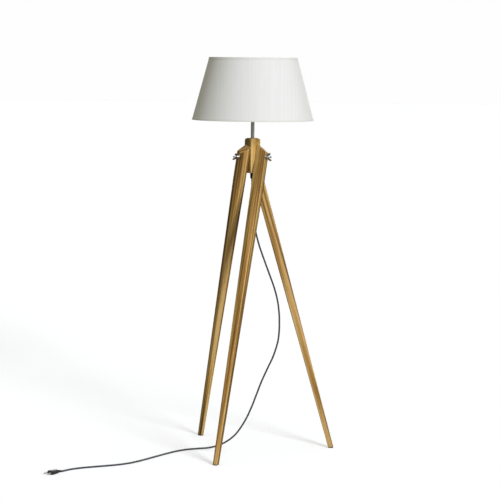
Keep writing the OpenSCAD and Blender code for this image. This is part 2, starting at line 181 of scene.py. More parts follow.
def written(work, mesh):
    """Writes worked geometry into a mesh and frees the work."""
    work.to_mesh(mesh)
    work.free()
    return mesh


def skin(name, rings, ends="capped"):
    """A closed skin over rings of points. Its ends are capped, or joined to each other."""
    shell = bmesh.new()
    rows = [[shell.verts.new(point) for point in ring] for ring in rings]
    pairs = list(zip(rows, rows[1:])) + ([(rows[-1], rows[0])] if ends == "joined" else [])
    for low, high in pairs:
        for i in range(len(low)):
            j = (i + 1) % len(low)
            shell.faces.new((low[i], low[j], high[j], high[i]))
    if ends == "capped":
        shell.faces.new(rows[0])
        shell.faces.new(rows[-1])
    mended(shell)
    bmesh.ops.recalc_face_normals(shell, faces=shell.faces)
    return smoothed(placed(name, written(shell, bpy.data.meshes.new(name))))


def softened(outline, radius, steps=3, closed=True):
    """The outline with each corner replaced by a short curve."""
    points, count = [], len(outline)
    for i, corner in enumerate(outline):
        corner = Vector(corner)
        if not closed and i in (0, count - 1):
            points.append(corner)
            continue
        before, after = Vector(outline[i - 1]) - corner, Vector(outline[(i + 1) % count]) - corner
        start = corner + before.normalized() * min(radius, before.length * 0.45)
        end = corner + after.normalized() * min(radius, after.length * 0.45)
        for k in range(steps + 1):
            t = k / steps
            points.append(start * (1 - t) ** 2 + corner * 2 * t * (1 - t) + end * t * t)
    return points


def turned(name, outline, place=None, around=96, soft=0.0004, solid=False):
    """A lathe piece. outline is (radius, height) points: round a hollow ring, or from axis to axis."""
    if soft:
        outline = softened(outline, soft, closed=not solid)
    place = place or Matrix.Identity(4)
    turns = [2 * math.pi * i / around for i in range(around)]
    rings = [[place @ Vector((r * math.cos(t), r * math.sin(t), z)) for t in turns] for r, z in outline]
    return skin(name, rings, ends="open" if solid else "joined")


def joined(name, *pieces):
    """Several pieces as one."""
    whole = bmesh.new()
    finishes = []
    for piece in pieces:
        start = len(whole.faces)
        whole.from_mesh(piece.data)
        whole.faces.ensure_lookup_table()
        for face in whole.faces[start:]:
            face.material_index = len(finishes)
        finishes.append(piece.data.materials[0] if piece.data.materials else None)
        bpy.data.objects.remove(piece)
    mesh = written(whole, bpy.data.meshes.new(name))
    for finish in finishes:
        mesh.materials.append(finish)
    return placed(name, mesh)


def cut(piece, *cutters):
    """The piece with the cutters' shapes taken out of it."""
    for cutter in cutters:
        modifier = piece.modifiers.new("Cut", "BOOLEAN")
        modifier.object = cutter
        modifier.operation = "DIFFERENCE"
        modifier.solver = "EXACT"
    applied(piece)
    for cutter in cutters:
        bpy.data.objects.remove(cutter)
    work = bmesh.new()
    work.from_mesh(piece.data)
    mended(work)
    written(work, piece.data)
    return smoothed(piece)


def bevelled(name, node, width, steps=3):
    """A copy of an engineered piece with its edges rounded. Its loose triangles are merged first."""
    copy = bmesh.new()
    copy.from_mesh(frame["nodes"][node].data)
    bmesh.ops.remove_doubles(copy, verts=copy.verts, dist=MERGE)
    bmesh.ops.dissolve_limit(copy, angle_limit=math.radians(2), verts=copy.verts, edges=copy.edges)
    piece = placed(name, written(copy, bpy.data.meshes.new(name)))
    rounding = piece.modifiers.new("Round", "BEVEL")
    rounding.width = width
    rounding.segments = steps
    rounding.limit_method = "ANGLE"
    rounding.angle_limit = math.radians(35)
    return smoothed(applied(piece))


def finished(piece, finish):
    """Gives a piece one finish all over."""
    piece.data.materials.clear()
    piece.data.materials.append(finish)


def settle(piece, body, finish=None, nodes=()):
    """Gives a piece its finish and its body, and hides the engineered pieces it stands for."""
    if finish:
        finished(piece, finish)
    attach(piece, body)
    if nodes:
        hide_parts(*nodes)
    print(f"{piece.name}: {len(piece.data.polygons)} faces, rides on {body}")
    return piece


# %% [markdown]
# ## Helpers for finishes
# Every finish is a Principled shader with a small graph in front of it. Patterns read the piece's own
# coordinates in metres, so a weave stays the same size on every piece.


# %% Helpers for finishes
def new_finish(name, **constants):
    """A material, its node tree and its shader, with the shader's constant inputs set."""
    finish = bpy.data.materials.new(name)
    finish.use_nodes = True
    tree = finish.node_tree
    shader = tree.nodes["Principled BSDF"]
    for label, value in constants.items():
        shader.inputs[label.replace("_", " ")].default_value = value
    return finish, tree, shader


def feed(shader, **patterns):
    """Links patterns into a shader's inputs."""
    for label, pattern in patterns.items():
        shader.id_data.links.new(pattern, shader.inputs[label.replace("_", " ")])


def place_of(tree, tight=1, attribute=None):
    """Coordinates for a pattern, so many times tighter: the piece's own, or a stored attribute."""
    scale = tight if isinstance(tight, tuple) else (tight, tight, tight)
    if attribute:
        source = add(tree, "ShaderNodeAttribute", attribute_name=attribute).outputs["Vector"]
    else:
        source = add(tree, "ShaderNodeTexCoord").outputs["Object"]
    return add(tree, "ShaderNodeMapping", {"Vector": source, "Scale": scale}).outputs[0]


def noise(tree, where, scale=1.0, detail=3.0, rough=0.5):
    """A cloudy pattern between 0 and 1."""
    made = add(tree, "ShaderNodeTexNoise",
               {"Vector": where, "Scale": scale, "Detail": detail, "Roughness": rough})
    return made.outputs["Fac"]


def ramp(tree, share, *stops):
    """Colours along a share. A stop is (share, red, green, blue)."""
    node = add(tree, "ShaderNodeValToRGB", {"Fac": share})
    node.color_ramp.elements[0].position = stops[0][0]
    node.color_ramp.elements[-1].position = stops[-1][0]
    for stop in stops[1:-1]:
        node.color_ramp.elements.new(stop[0])
    for element, stop in zip(node.color_ramp.elements, stops):
        element.color = (*stop[1:], 1)
    return node.outputs["Color"]


def between(tree, share, low, high):
    """A share from 0 to 1 stretched to run from low to high."""
    return add(tree, "ShaderNodeMapRange", {"Value": share, "To Min": low, "To Max": high}).outputs[0]


def relief(tree, shader, height, depth, strength=1.0):
    """Fine relief of a depth in metres, too fine to model."""
    bump = add(tree, "ShaderNodeBump", {"Height": height, "Distance": depth, "Strength": strength})
    feed(shader, Normal=bump.outputs[0])


# %% [markdown]
# ## Cord
# The flex leaves the gland straight down, swings out between the legs, lies down on the floor and runs
# away to the left to its plug. It could be a Bezier curve, but a flex is a fixed length of something
# stiff, so its route is a list of given points, smoothed.

# %% Route of the cord
CORD_D = 0.0066
FLOOR_Z = 0.0034
ROUTE = [
    (0, 0, 1.020), (0, 0, 1.000), (0, 0.001, 0.970), (0.002, 0.004, 0.920), (0.007, 0.008, 0.870),
    (0.016, 0.011, 0.820), (0.030, 0.013, 0.768), (0.049, 0.012, 0.715), (0.069, 0.009, 0.662),
    (0.088, 0.005, 0.610), (0.102, 0.002, 0.555), (0.108, 0, 0.492), (0.105, 0, 0.420),
    (0.088, 0.001, 0.358), (0.066, 0.002, 0.308), (0.044, 0.002, 0.258), (0.026, -0.001, 0.210),
    (0.006, -0.017, 0.160), (-0.018, -0.035, 0.112), (-0.054, -0.046, 0.062), (-0.100, -0.043, 0.028),
    (-0.146, -0.033, 0.011), (-0.192, -0.026, 0.005), (-0.236, -0.040, FLOOR_Z),
    (-0.272, -0.072, FLOOR_Z), (-0.302, -0.110, FLOOR_Z), (-0.344, -0.170, FLOOR_Z),
    (-0.374, -0.214, FLOOR_Z), (-0.402, -0.252, FLOOR_Z), (-0.434, -0.288, FLOOR_Z),
    (-0.472, -0.315, FLOOR_Z), (-0.512, -0.335, FLOOR_Z), (-0.553, -0.353, FLOOR_Z),
    (-0.594, -0.372, FLOOR_Z), (-0.631, -0.397, FLOOR_Z), (-0.660, -0.430, FLOOR_Z),
]
STEPS = 12


def smooth_route(points, steps):
    """A curve through all the points, led straight on at its ends."""
    p = [Vector(x) for x in points]
    p = [2 * p[0] - p[1], *p, 2 * p[-1] - p[-2]]
    line = []
    for a, b, c, d in zip(p, p[1:], p[2:], p[3:]):
        for k in range(steps):
            t = k / steps
            line.append(0.5 * (2 * b + (c - a) * t + (2 * a - 5 * b + 4 * c - d) * t ** 2
                               + (3 * b - a - 3 * c + d) * t ** 3))
    return line + [p[-2]]


cord_line = smooth_route(ROUTE, STEPS)

# %% [markdown]
# The flex is a round cable in a tight textile braid. Modelling every yarn would cost a million faces, so
# the tube is swept along the route by Geometry Nodes and keeps two facts on its surface: how far along
# the cord a point is, and where it is round the cord. The braid in the finish follows those.

# %% Tree that sweeps a tube along a path
sweep_tree, given = new_tree("sweep", Radius="number", Around="whole")
path = add(sweep_tree, "GeometryNodeMeshToCurve", {"Mesh": given["Geometry"]})
run = add(sweep_tree, "GeometryNodeSplineParameter")
path_kept = add(sweep_tree, "GeometryNodeCaptureAttribute")
path_kept.capture_items.new("FLOAT", "Along")
sweep_tree.links.new(path.outputs[0], path_kept.inputs["Geometry"])
sweep_tree.links.new(run.outputs["Length"], path_kept.inputs["Along"])
circle = add(sweep_tree, "GeometryNodeCurvePrimitiveCircle",
             {"Resolution": given["Around"], "Radius": given["Radius"]})
round_it = add(sweep_tree, "GeometryNodeInputPosition")
circle_kept = add(sweep_tree, "GeometryNodeCaptureAttribute")
circle_kept.capture_items.new("VECTOR", "Round")
sweep_tree.links.new(circle.outputs["Curve"], circle_kept.inputs["Geometry"])
sweep_tree.links.new(round_it.outputs[0], circle_kept.inputs["Round"])
tube = add(sweep_tree, "GeometryNodeCurveToMesh",
           {"Curve": path_kept.outputs["Geometry"], "Profile Curve": circle_kept.outputs["Geometry"],
            "Fill Caps": True})
side = add(sweep_tree, "ShaderNodeSeparateXYZ", {"Vector": circle_kept.outputs["Round"]})
braid_place = add(sweep_tree, "ShaderNodeCombineXYZ",
                  {"X": calc(sweep_tree, "DIVIDE", side.outputs["X"], given["Radius"]),
                   "Y": calc(sweep_tree, "DIVIDE", side.outputs["Y"], given["Radius"]),
                   "Z": path_kept.outputs["Along"]})
swept = add(sweep_tree, "GeometryNodeStoreNamedAttribute",
            {"Geometry": tube.outputs[0], "Name": "braid", "Value": braid_place.outputs[0]},
            data_type="FLOAT_VECTOR", domain="POINT")
end_tree(sweep_tree, swept.outputs[0], given["Finish"])
print("sweep tree:", len(sweep_tree.nodes), "nodes")

# %% [markdown]
# A braid is two sets of yarns that wind round the cord in opposite ways and pass over and under each
# other. Two waves that run round and along the cord in opposite senses make the lozenges between them.


# %% Finish: textile braid
def textile_braid():
    finish, tree, shader = new_finish("textile_braid", Roughness=0.85, Sheen_Weight=0.25,
                                      Sheen_Roughness=0.5)
    yarns, turn_length = 8, 0.024
    at = add(tree, "ShaderNodeAttribute", attribute_name="braid").outputs["Vector"]
    part = add(tree, "ShaderNodeSeparateXYZ", {"Vector": at})
    angle = calc(tree, "ARCTAN2", part.outputs["Y"], part.outputs["X"])
    winding = calc(tree, "MULTIPLY", part.outputs["Z"], 2 * math.pi * yarns / turn_length)
    round_yarns = calc(tree, "MULTIPLY", angle, yarns)
    one_way = calc(tree, "SINE", calc(tree, "ADD", round_yarns, winding))
    other_way = calc(tree, "SINE", calc(tree, "SUBTRACT", round_yarns, winding))
    weave = calc(tree, "MULTIPLY_ADD", calc(tree, "MULTIPLY", one_way, other_way), 0.5, 0.5)
    fuzz = noise(tree, place_of(tree, 900), detail=2)
    shade = calc(tree, "MULTIPLY_ADD", fuzz, 0.35, calc(tree, "MULTIPLY", weave, 0.65))
    colour = ramp(tree, shade, (0.15, 0.016, 0.017, 0.020), (0.5, 0.045, 0.047, 0.055),
                  (0.9, 0.12, 0.122, 0.135))
    feed(shader, Base_Color=colour)
    relief(tree, shader, shade, 0.0004, 0.8)
    return finish


# %% Cord
def wire_along(name, points, finish, radius, around=12):
    """A round wire along a line of points."""
    line = bpy.data.meshes.new(name + "_path")
    line.from_pydata(points, [(i, i + 1) for i in range(len(points) - 1)], [])
    return grown(name, sweep_tree, finish, line, Radius=radius, Around=around)


cord = wire_along("flex", cord_line, textile_braid(), CORD_D / 2, 16)
settle(cord, "stand", nodes=["cord"])

# %% [markdown]
# ## Where the legs are
# Each leg turns about its own bolt. The frame's joints say where: the joint's point is on the bolt and
# its axis runs along it. A leg's own place has x outwards in the plane it swings in, y along its bolt
# and z up, with the bolt at the origin.

# %% Places of the legs
LEGS = {}
for joint in frame["joints"]:
    if joint["name"].endswith("_fold"):
        axis = joint["axis"]
        about = Matrix.Rotation(math.atan2(axis[0], -axis[1]), 4, "Z")
        LEGS[joint["child"]] = Matrix.Translation(joint["pos_m"]) @ about
BOLT_H = next(iter(LEGS.values())).translation.z
ALONG_BOLT = Matrix.Rotation(math.radians(-90), 4, "X")
print("legs:", list(LEGS), "bolts at", round(BOLT_H, 3), "m")

# %% [markdown]
# ## Wood
# The legs and the hub are sawn from a striped hardwood and oiled. Its figure is long: a stripe is a
# centimetre wide and half a metre long. Noise stretched that much along the grain makes stripes, finer
# noise makes the fibres, and short dark dashes are the pores. A wood texture of even rings would look
# printed. Each wooden piece keeps an attribute that holds how far along, across and through the wood a
# point is, so the grain follows a slanted leg. The battens are sawn at a slant to the growth rings, so
# the attribute is turned about the grain, and two faces of a leg never show the same stripes. On the hub
# the finish paints shade: it darkens the wood on the negative-X side, away from the light.


# %% Finish: oiled striped hardwood
def oiled_wood(name, contrast=1.0, pale=(1, 1, 1), painted_shade=None):
    """Striped wood. The last argument, if given, is (an X, how dark the wood gets below that X): painted
    shade on the side away from the light.
    """
    finish, tree, shader = new_finish(name, Specular_IOR_Level=0.3)
    stripes = noise(tree, place_of(tree, (1.3, 130, 22), "grain"), detail=4, rough=0.6)
    bands = noise(tree, place_of(tree, (0.7, 40, 9), "grain"), detail=1)
    fibres = noise(tree, place_of(tree, (14, 700, 700), "grain"), detail=4, rough=0.6)
    pores = noise(tree, place_of(tree, (60, 1500, 1500), "grain"), detail=2)
    figure = calc(tree, "MULTIPLY_ADD", stripes, 0.74 * contrast,
                  calc(tree, "MULTIPLY_ADD", bands, 0.26, (1 - contrast) * 0.37))
    figure = calc(tree, "MULTIPLY_ADD", fibres, 0.22, calc(tree, "SUBTRACT", figure, 0.11))
    tones = ((0.38, 0.125, 0.062, 0.014), (0.46, 0.345, 0.182, 0.041),
             (0.53, 0.510, 0.292, 0.080), (0.60, 0.700, 0.465, 0.180))
    colour = ramp(tree, figure, *[(share, *[p * c for p, c in zip(pale, rgb)]) for share, *rgb in tones])
    hue = noise(tree, place_of(tree, (0.5, 75, 13), "grain"), scale=1.3, detail=2)
    colour = add(tree, "ShaderNodeVectorMath", {
        0: colour, 1: ramp(tree, hue, (0.38, 1.0, 0.93, 0.86), (0.62, 0.93, 1.0, 1.0))},
        operation="MULTIPLY").outputs[0]
    pores_and_painted_shade = between(tree, calc(tree, "GREATER_THAN", pores, 0.64), 1.0, 0.62)
    # Painted shade: below the given X, on the side away from the light, the wood is darkened.
    if painted_shade:
        joint, dark = painted_shade
        side = add(tree, "ShaderNodeSeparateXYZ", {"Vector": place_of(tree)}).outputs["X"]
        pores_and_painted_shade = calc(tree, "MULTIPLY", pores_and_painted_shade,
                         between(tree, calc(tree, "GREATER_THAN", side, joint), dark, 1.0))
    mixed = add(tree, "ShaderNodeVectorMath", {0: colour, "Scale": pores_and_painted_shade}, operation="SCALE")
    feed(shader, Base_Color=mixed.outputs[0], Roughness=between(tree, fibres, 0.50, 0.72))
    relief(tree, shader, calc(tree, "MULTIPLY", fibres, pores_and_painted_shade), 0.00025, 0.5)
    return finish


leg_wood = oiled_wood("leg_wood", 1.5)
# The hub's wood is darkened to 0.48 on its negative-X side as painted shade.
hub_wood = oiled_wood("hub_wood", 0.5, (1.45, 1.62, 1.85), (-0.005, 0.48))


def mark_grain(piece, along, shift, slant=35):
    """Keeps, for every point, its place along the wood and across and along its growth rings."""
    sawn = Matrix.Rotation(math.radians(slant), 4, "X") @ along
    grain = piece.data.attributes.new("grain", "FLOAT_VECTOR", "POINT")
    for point, stored in zip(piece.data.vertices, grain.data):
        stored.vector = (sawn @ point.co) + shift


# %% [markdown]
# ## Legs
# A leg is a sawn batten: straight where it is bolted to the hub, then tapered in both directions down to
# the foot. Its top is cut on a slant and its foot is cut level with the floor, and a sander has taken the
# sharpness off its edges. It could be a box with bevels, but the taper makes a bevel uneven, so rings of
# a rounded rectangle are placed down the leg and a skin is laid over them.

# %% Sizes of a leg
HUB_FACE = 0.022
FRICTION_T = 0.001
FOOT_SPREAD = 0.310
HEAD_W, HEAD_T = 0.038, 0.035
FOOT_W, FOOT_T = 0.019, 0.017
HEAD_UP, HEAD_DROP, HEAD_DOWN = 0.042, 0.025, 0.095
PAD_T = 0.003
ARRIS = 0.0032
END_ROUND = 0.0015
LEG_ROWS = 60
CORNER_STEPS = 4
BOLT_D = 0.006
RUN_FIT = 0.00008
BORE_PAST = 0.01
GRAIN_START = Vector((0, 0.05, 0))
GRAIN_STEP = Vector((1.7, 0.31, 0.17))

leg_angle = math.atan2(FOOT_SPREAD, BOLT_H)
leg_length = math.hypot(FOOT_SPREAD, BOLT_H)
leg_in = HUB_FACE + FRICTION_T
leg_mid = leg_in + HEAD_T / 2
leg_out = leg_in + HEAD_T
DOWN = Vector((math.sin(leg_angle), 0, -math.cos(leg_angle)))
ACROSS = Vector((math.cos(leg_angle), 0, math.sin(leg_angle)))
THROUGH = Vector((0, 1, 0))
print("leg:", round(leg_length, 3), "m to the floor,", round(math.degrees(leg_angle), 1), "degrees out")


# %% Rings of a leg
def tapered(head, foot, s, straight):
    """A width that stays the same down to s = straight and then shrinks evenly to the foot."""
    share = max(0.0, s - straight) / (leg_length - straight)
    return head + (foot - head) * share


def leg_ring(share, inset, shift):
    """A ring of the leg. share runs from its slanted top to its level foot."""
    ring = []
    for corner in range(4):
        for k in range(CORNER_STEPS + 1):
            turn = math.radians(90 * (corner + k / CORNER_STEPS))
            side_x = 1 if corner in (0, 3) else -1
            side_y = 1 if corner in (0, 1) else -1
            s = share * leg_length
            for _ in range(2):
                half_w = tapered(HEAD_W, FOOT_W, s, HEAD_DOWN) / 2 - inset
                half_t = tapered(HEAD_T, FOOT_T, s, HEAD_DOWN) / 2 - inset
                x = side_x * (half_w - ARRIS) + ARRIS * math.cos(turn)
                y = side_y * (half_t - ARRIS) + ARRIS * math.sin(turn)
                top = -HEAD_UP + HEAD_DROP * (y / HEAD_T + 0.5) + shift
                foot = (BOLT_H - PAD_T + x * math.sin(leg_angle)) / math.cos(leg_angle) - shift
                s = top + (foot - top) * share
            ring.append(DOWN * s + ACROSS * x + THROUGH * (leg_mid + y))
    return ring


QUARTER = [math.radians(a) for a in (0, 30, 60, 90)]


def leg_rings():
    """All rings of a leg, its two ends rounded over a quarter turn."""
    ends = [(END_ROUND * (1 - math.sin(t)), END_ROUND * (1 - math.cos(t))) for t in QUARTER]
    top = [leg_ring(0, inset, shift) for inset, shift in ends]
    foot = [leg_ring(1, inset, shift) for inset, shift in reversed(ends)]
    return top + [leg_ring(i / LEG_ROWS, 0, 0) for i in range(1, LEG_ROWS)] + foot


# %% Legs
def bore_along(place, low, high, radius, around=48):
    """A drill's shape, to be cut out along a place's own height."""
    return turned("bore", [(0, low), (radius, low), (radius, high), (0, high)], place,
                  around=around, soft=0, solid=True)


for number, (body, place) in enumerate(LEGS.items()):
    leg = skin(body + "_batten", leg_rings())
    cut(leg, bore_along(ALONG_BOLT, leg_in - BORE_PAST, leg_out + BORE_PAST, BOLT_D / 2 + RUN_FIT, 32))
    to_wood = Matrix((DOWN, ACROSS, THROUGH)).to_4x4()
    mark_grain(leg, to_wood, GRAIN_STEP * number + GRAIN_START)
    leg.data.transform(place)
    settle(leg, body, leg_wood, [body])

# %% [markdown]
# ## Felt pads
# A thin pad of brown felt under each foot keeps the wood off the floor. It is cut from a sheet, so a
# rounded copy of the engineered pad is enough, and the nap is left to the finish.


# %% Finish: felt
def brown_felt():
    finish, tree, shader = new_finish("brown_felt", Roughness=0.95, Sheen_Weight=0.4, Sheen_Roughness=0.6)
    nap = noise(tree, place_of(tree, 700), detail=5, rough=0.7)
    feed(shader, Base_Color=ramp(tree, nap, (0.3, 0.030, 0.020, 0.012), (0.7, 0.085, 0.060, 0.038)))
    relief(tree, shader, nap, 0.0006, 0.9)
    return finish


FELT_ROUND = 0.0006
felt = brown_felt()
for body in LEGS:
    node = body.replace("leg", "foot_pad")
    settle(bevelled(node + "_felt", node, FELT_ROUND), body, felt, [node])

# %% [markdown]
# ## Hub
# The hub is a glued block of the same wood: three wide faces carry the legs and three narrow faces show
# between them. Its top edge was rounded on a lathe, which leaves soft arches on every face. Two rules
# give its outline: how far out the six faces lie, and how far out the lathe's cut lies at each height.

# %% Sizes of the hub
HUB_CORNER = 0.029
HUB_ROUND = 0.012
FACES = [(math.radians(90 + 120 * i), HUB_FACE) for i in range(3)] + [
    (math.radians(150 + 120 * i), HUB_CORNER) for i in range(3)]
hub_low, hub_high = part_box("hub")
hub_out = max(math.hypot(v.co.x, v.co.y) for v in frame["nodes"]["hub"].data.vertices)
HUB_AROUND = 240
EDGE_POWER = 46
CAP_POWER = 60


# %% Hub
def faces_reach(turn):
    """How far out the six faces let the block reach, its upright edges a little rounded."""
    near = [max(0.0, math.cos(turn - a) / d) for a, d in FACES]
    return sum(x ** EDGE_POWER for x in near) ** (-1 / EDGE_POWER)


def lathe_reach(height):
    """How far out the lathe's round lets the block reach at a height above its bottom face."""
    over = height - (hub_high.z - hub_low.z - HUB_ROUND)
    return hub_out if over <= 0 else hub_out - HUB_ROUND + math.sqrt(max(0.0, HUB_ROUND ** 2 - over ** 2))


def hub_ring(height, inset=0.0):
    """A ring of the hub: whichever of the faces and the lathe reaches less far decides."""
    ring = []
    for i in range(HUB_AROUND):
        turn = 2 * math.pi * i / HUB_AROUND
        reach = (faces_reach(turn) ** -CAP_POWER + lathe_reach(height) ** -CAP_POWER) ** (-1 / CAP_POWER)
        reach -= inset
        ring.append(Vector((reach * math.cos(turn), reach * math.sin(turn), hub_low.z + height)))
    return ring


hub_height = hub_high.z - hub_low.z
rings = [hub_ring(END_ROUND * (1 - math.cos(t)), END_ROUND * (1 - math.sin(t))) for t in QUARTER]
rings += [hub_ring(hub_height - HUB_ROUND + HUB_ROUND * math.sin(math.radians(a)))
          for a in range(-30, 89, 3)]
rings += [hub_ring(hub_height)]
hub = skin("hub_block", rings)


STEM_D, STEM_SEAT, ROD_D, FIT = 0.0135, 0.020, 0.010, 0.00005
BOLT_START, BOLT_HOLE_END = 0.007, 0.04
UPRIGHT = Matrix.Identity(4)
GRAIN_UPWARDS = Matrix(((0, 0, 1), (1, 0, 0), (0, 1, 0))).to_4x4()
cut(hub, bore_along(UPRIGHT, hub_low.z - BORE_PAST, hub_high.z + BORE_PAST, ROD_D / 2 + FIT))
cut(hub, bore_along(UPRIGHT, hub_high.z - STEM_SEAT, hub_high.z + BORE_PAST, STEM_D / 2 + FIT))
for place in LEGS.values():
    cut(hub, bore_along(place @ ALONG_BOLT, BOLT_START, BOLT_HOLE_END, BOLT_D / 2 + FIT))
mark_grain(hub, GRAIN_UPWARDS, Vector((5.1, 0.9, 0.4)))
settle(hub, "stand", hub_wood, ["hub"])

# %% [markdown]
# ## Metal finishes
# Plated steel is nearly smooth: what shows is the reflection, broken by fine marks along the way the
# piece was turned or polished, and a little variation in gloss where it has been handled.


# %% Finishes: metals
def plated(name, colour, rough, marks=(1, 1, 60), base=120.0):
    """A metal with fine marks. marks says how tight the marks are along each axis."""
    finish, tree, shader = new_finish(name, Metallic=1.0)
    scratches = noise(tree, place_of(tree, tuple(base * m for m in marks)), detail=4, rough=0.6)
    handled = noise(tree, place_of(tree, 60), detail=2)
    wear = calc(tree, "MULTIPLY_ADD", handled, 0.5, calc(tree, "MULTIPLY", scratches, 0.5))
    dark = [c * 0.86 for c in colour]
    feed(shader, Base_Color=ramp(tree, wear, (0.3, *dark), (0.7, *colour)),
         Roughness=between(tree, wear, rough * 0.85, rough * 1.15))
    relief(tree, shader, scratches, 0.00001, 0.4)
    return finish


nickel = plated("polished_nickel", (0.53, 0.525, 0.48), 0.30)
cast_nickel = plated("satin_nickel", (0.60, 0.595, 0.58), 0.40, (1, 1, 1), 400.0)
zinc = plated("zinc_plate", (0.62, 0.62, 0.61), 0.26, (1, 1, 1), 300.0)
brass = plated("plain_brass", (0.72, 0.52, 0.22), 0.22)

# %% [markdown]
# ## Screw threads
# A thread is a ridge that climbs one pitch for each turn. The tree below lays a grid round a cylinder and
# moves every point in or out by a wave that depends on its height and its turn, so the ridge really is a
# helix. The first and last rows run in to the bore, and the seam is merged, so the skin is closed.


# %% Tree that turns a threaded piece
def grid_to_roll(tree, given):
    """A grid to be rolled up, with each point's share of a turn, its row and the last row's number."""
    maths = partial(calc, tree)
    grid = add(tree, "GeometryNodeMeshGrid", {
        "Size X": 1.0, "Size Y": 1.0, "Vertices X": maths("ADD", given["Around"], 1),
        "Vertices Y": given["Rows"]})
    where = add(tree, "GeometryNodeInputPosition").outputs[0]
    flat = add(tree, "ShaderNodeSeparateXYZ", {"Vector": where})
    turn_share = maths("ADD", flat.outputs["X"], 0.5)
    last_row = maths("SUBTRACT", given["Rows"], 1)
    row = maths("ROUND", maths("MULTIPLY", maths("ADD", flat.outputs["Y"], 0.5), last_row))
    return grid.outputs["Mesh"], turn_share, row, last_row


thread_tree, given = new_tree("thread", Radius="number", Bore="number", Height="number", Pitch="number",
                              Depth="number", Around="whole", Rows="whole")
maths = partial(calc, thread_tree)
grid, turn_share, row, last_row = grid_to_roll(thread_tree, given)
not_last = maths("LESS_THAN", row, maths("SUBTRACT", last_row, 0.5))
on_wall = maths("MULTIPLY", maths("GREATER_THAN", row, 0.5),
                maths("LESS_THAN", row, maths("SUBTRACT", last_row, 1.5)))
climb = add(thread_tree, "ShaderNodeMapRange",
            {"Value": row, "From Min": 1.0, "From Max": maths("SUBTRACT", last_row, 2)})
height = maths("MULTIPLY", maths("MULTIPLY", climb.outputs[0], given["Height"]), not_last)
turns_up = maths("DIVIDE", height, given["Pitch"])
wave = maths("COSINE", maths("MULTIPLY", maths("SUBTRACT", turns_up, turn_share), 2 * math.pi))
from_end = maths("MINIMUM", height, maths("SUBTRACT", given["Height"], height))
run_out = maths("MINIMUM", maths("DIVIDE", from_end, given["Pitch"]), 1.0)
ridge = maths("MULTIPLY", maths("MULTIPLY_ADD", wave, 0.5, 0.5), run_out)
root = maths("SUBTRACT", given["Radius"], given["Depth"])
wall = maths("ADD", root, maths("MULTIPLY", ridge, given["Depth"]))
reach = maths("ADD", given["Bore"], maths("MULTIPLY", on_wall, maths("SUBTRACT", wall, given["Bore"])))
angle = maths("MULTIPLY", turn_share, 2 * math.pi)
spot = add(thread_tree, "ShaderNodeCombineXYZ", {
    "X": maths("MULTIPLY", reach, maths("COSINE", angle)),
    "Y": maths("MULTIPLY", reach, maths("SINE", angle)), "Z": height})
wound = add(thread_tree, "GeometryNodeSetPosition", {"Geometry": grid, "Position": spot.outputs[0]})
sealed = add(thread_tree, "GeometryNodeMergeByDistance", {"Geometry": wound.outputs[0], "Distance": MERGE})
bare = maths("LESS_THAN", add(thread_tree, "GeometryNodeInputMeshEdgeNeighbors").outputs[0], 0.5)
clean = add(thread_tree, "GeometryNodeDeleteGeometry",
            {"Geometry": sealed.outputs[0], "Selection": bare}, domain="EDGE")
end_tree(thread_tree, clean.outputs[0], given["Finish"])
print("thread tree:", len(thread_tree.nodes), "nodes")


# %% Threaded piece
def threaded(name, finish, radius, bore, low, height, pitch, depth, around=36, per_turn=6, place=None):
    """A threaded cylinder or tube that starts at a height, facing outwards."""
    rows = 4 + round(height / pitch * per_turn)
    piece = grown(name, thread_tree, finish, Radius=radius, Bore=bore, Height=height, Pitch=pitch,
                  Depth=depth, Around=around, Rows=rows)
    work = bmesh.new()
    work.from_mesh(piece.data)
    bmesh.ops.recalc_face_normals(work, faces=work.faces)
    written(work, piece.data)
    piece.data.transform((place or Matrix.Identity(4)) @ Matrix.Translation((0, 0, low)))
    return smoothed(piece, 60)


# %% [markdown]
# ## Leg bolts, washers and wing nuts
# A bolt is screwed into the hub and reaches out through the leg. A washer and a wing nut clamp the leg
# against it. The bolts have a real thread, the washers a rounded rim, and the wing nut is cast: its boss
# and wings are made as simple closed shapes, fused by a remesh, and smoothed, as a casting's corners are.

# %% Leg bolts
WASHER_D, WASHER_T = 0.018, 0.0016
FRICTION_D = 0.024
BOLT_PAST = 0.022
BOLT_PITCH, BOLT_DEPTH = 0.001, 0.00055
nut_face = leg_out + WASHER_T
bolt_length = nut_face + BOLT_PAST - BOLT_START
bolts = joined("leg_bolts", *[
    threaded("bolt", zinc, BOLT_D / 2, 0, BOLT_START, bolt_length, BOLT_PITCH, BOLT_DEPTH, around=24,
             place=place @ ALONG_BOLT) for place in LEGS.values()])
settle(bolts, "stand", zinc, ["pivot_bolts"])


# %% Washers
def washer(name, low, thick, outer, place):
    """A flat washer round a bolt."""
    hole = BOLT_D / 2 + FIT
    return turned(name, [(hole, low), (outer, low), (outer, low + thick), (hole, low + thick)], place,
                  around=64, soft=0.0003)


def pressed_fibre():
    finish, tree, shader = new_finish("pressed_fibre", Roughness=0.8)
    mottle = noise(tree, place_of(tree, 500), detail=4)
    feed(shader, Base_Color=ramp(tree, mottle, (0.3, 0.045, 0.035, 0.028), (0.7, 0.11, 0.09, 0.07)))
    relief(tree, shader, mottle, 0.0001)
    return finish


metal_washers = joined("metal_washers", *[
    washer("washer", leg_out, WASHER_T, WASHER_D / 2, place @ ALONG_BOLT) for place in LEGS.values()])
settle(metal_washers, "stand", zinc, ["outer_washers"])
fibre_washers = joined("fibre_washers", *[
    washer("washer", HUB_FACE, FRICTION_T, FRICTION_D / 2, place @ ALONG_BOLT) for place in LEGS.values()])
settle(fibre_washers, "stand", pressed_fibre(), ["friction_washers"])

# %% Wing nuts
WING_SPAN, WING_H, WING_T, BOSS_D = 0.033, 0.020, 0.003, 0.013
BOSS_H = WING_H / 2
TIP_R = 0.004
ROOT_GAP = 0.0003
BOSS_TAPER = 0.0012
VOXEL = 0.00042
NUT_TURNS = {"right": 120, "left": 49, "front": 107}


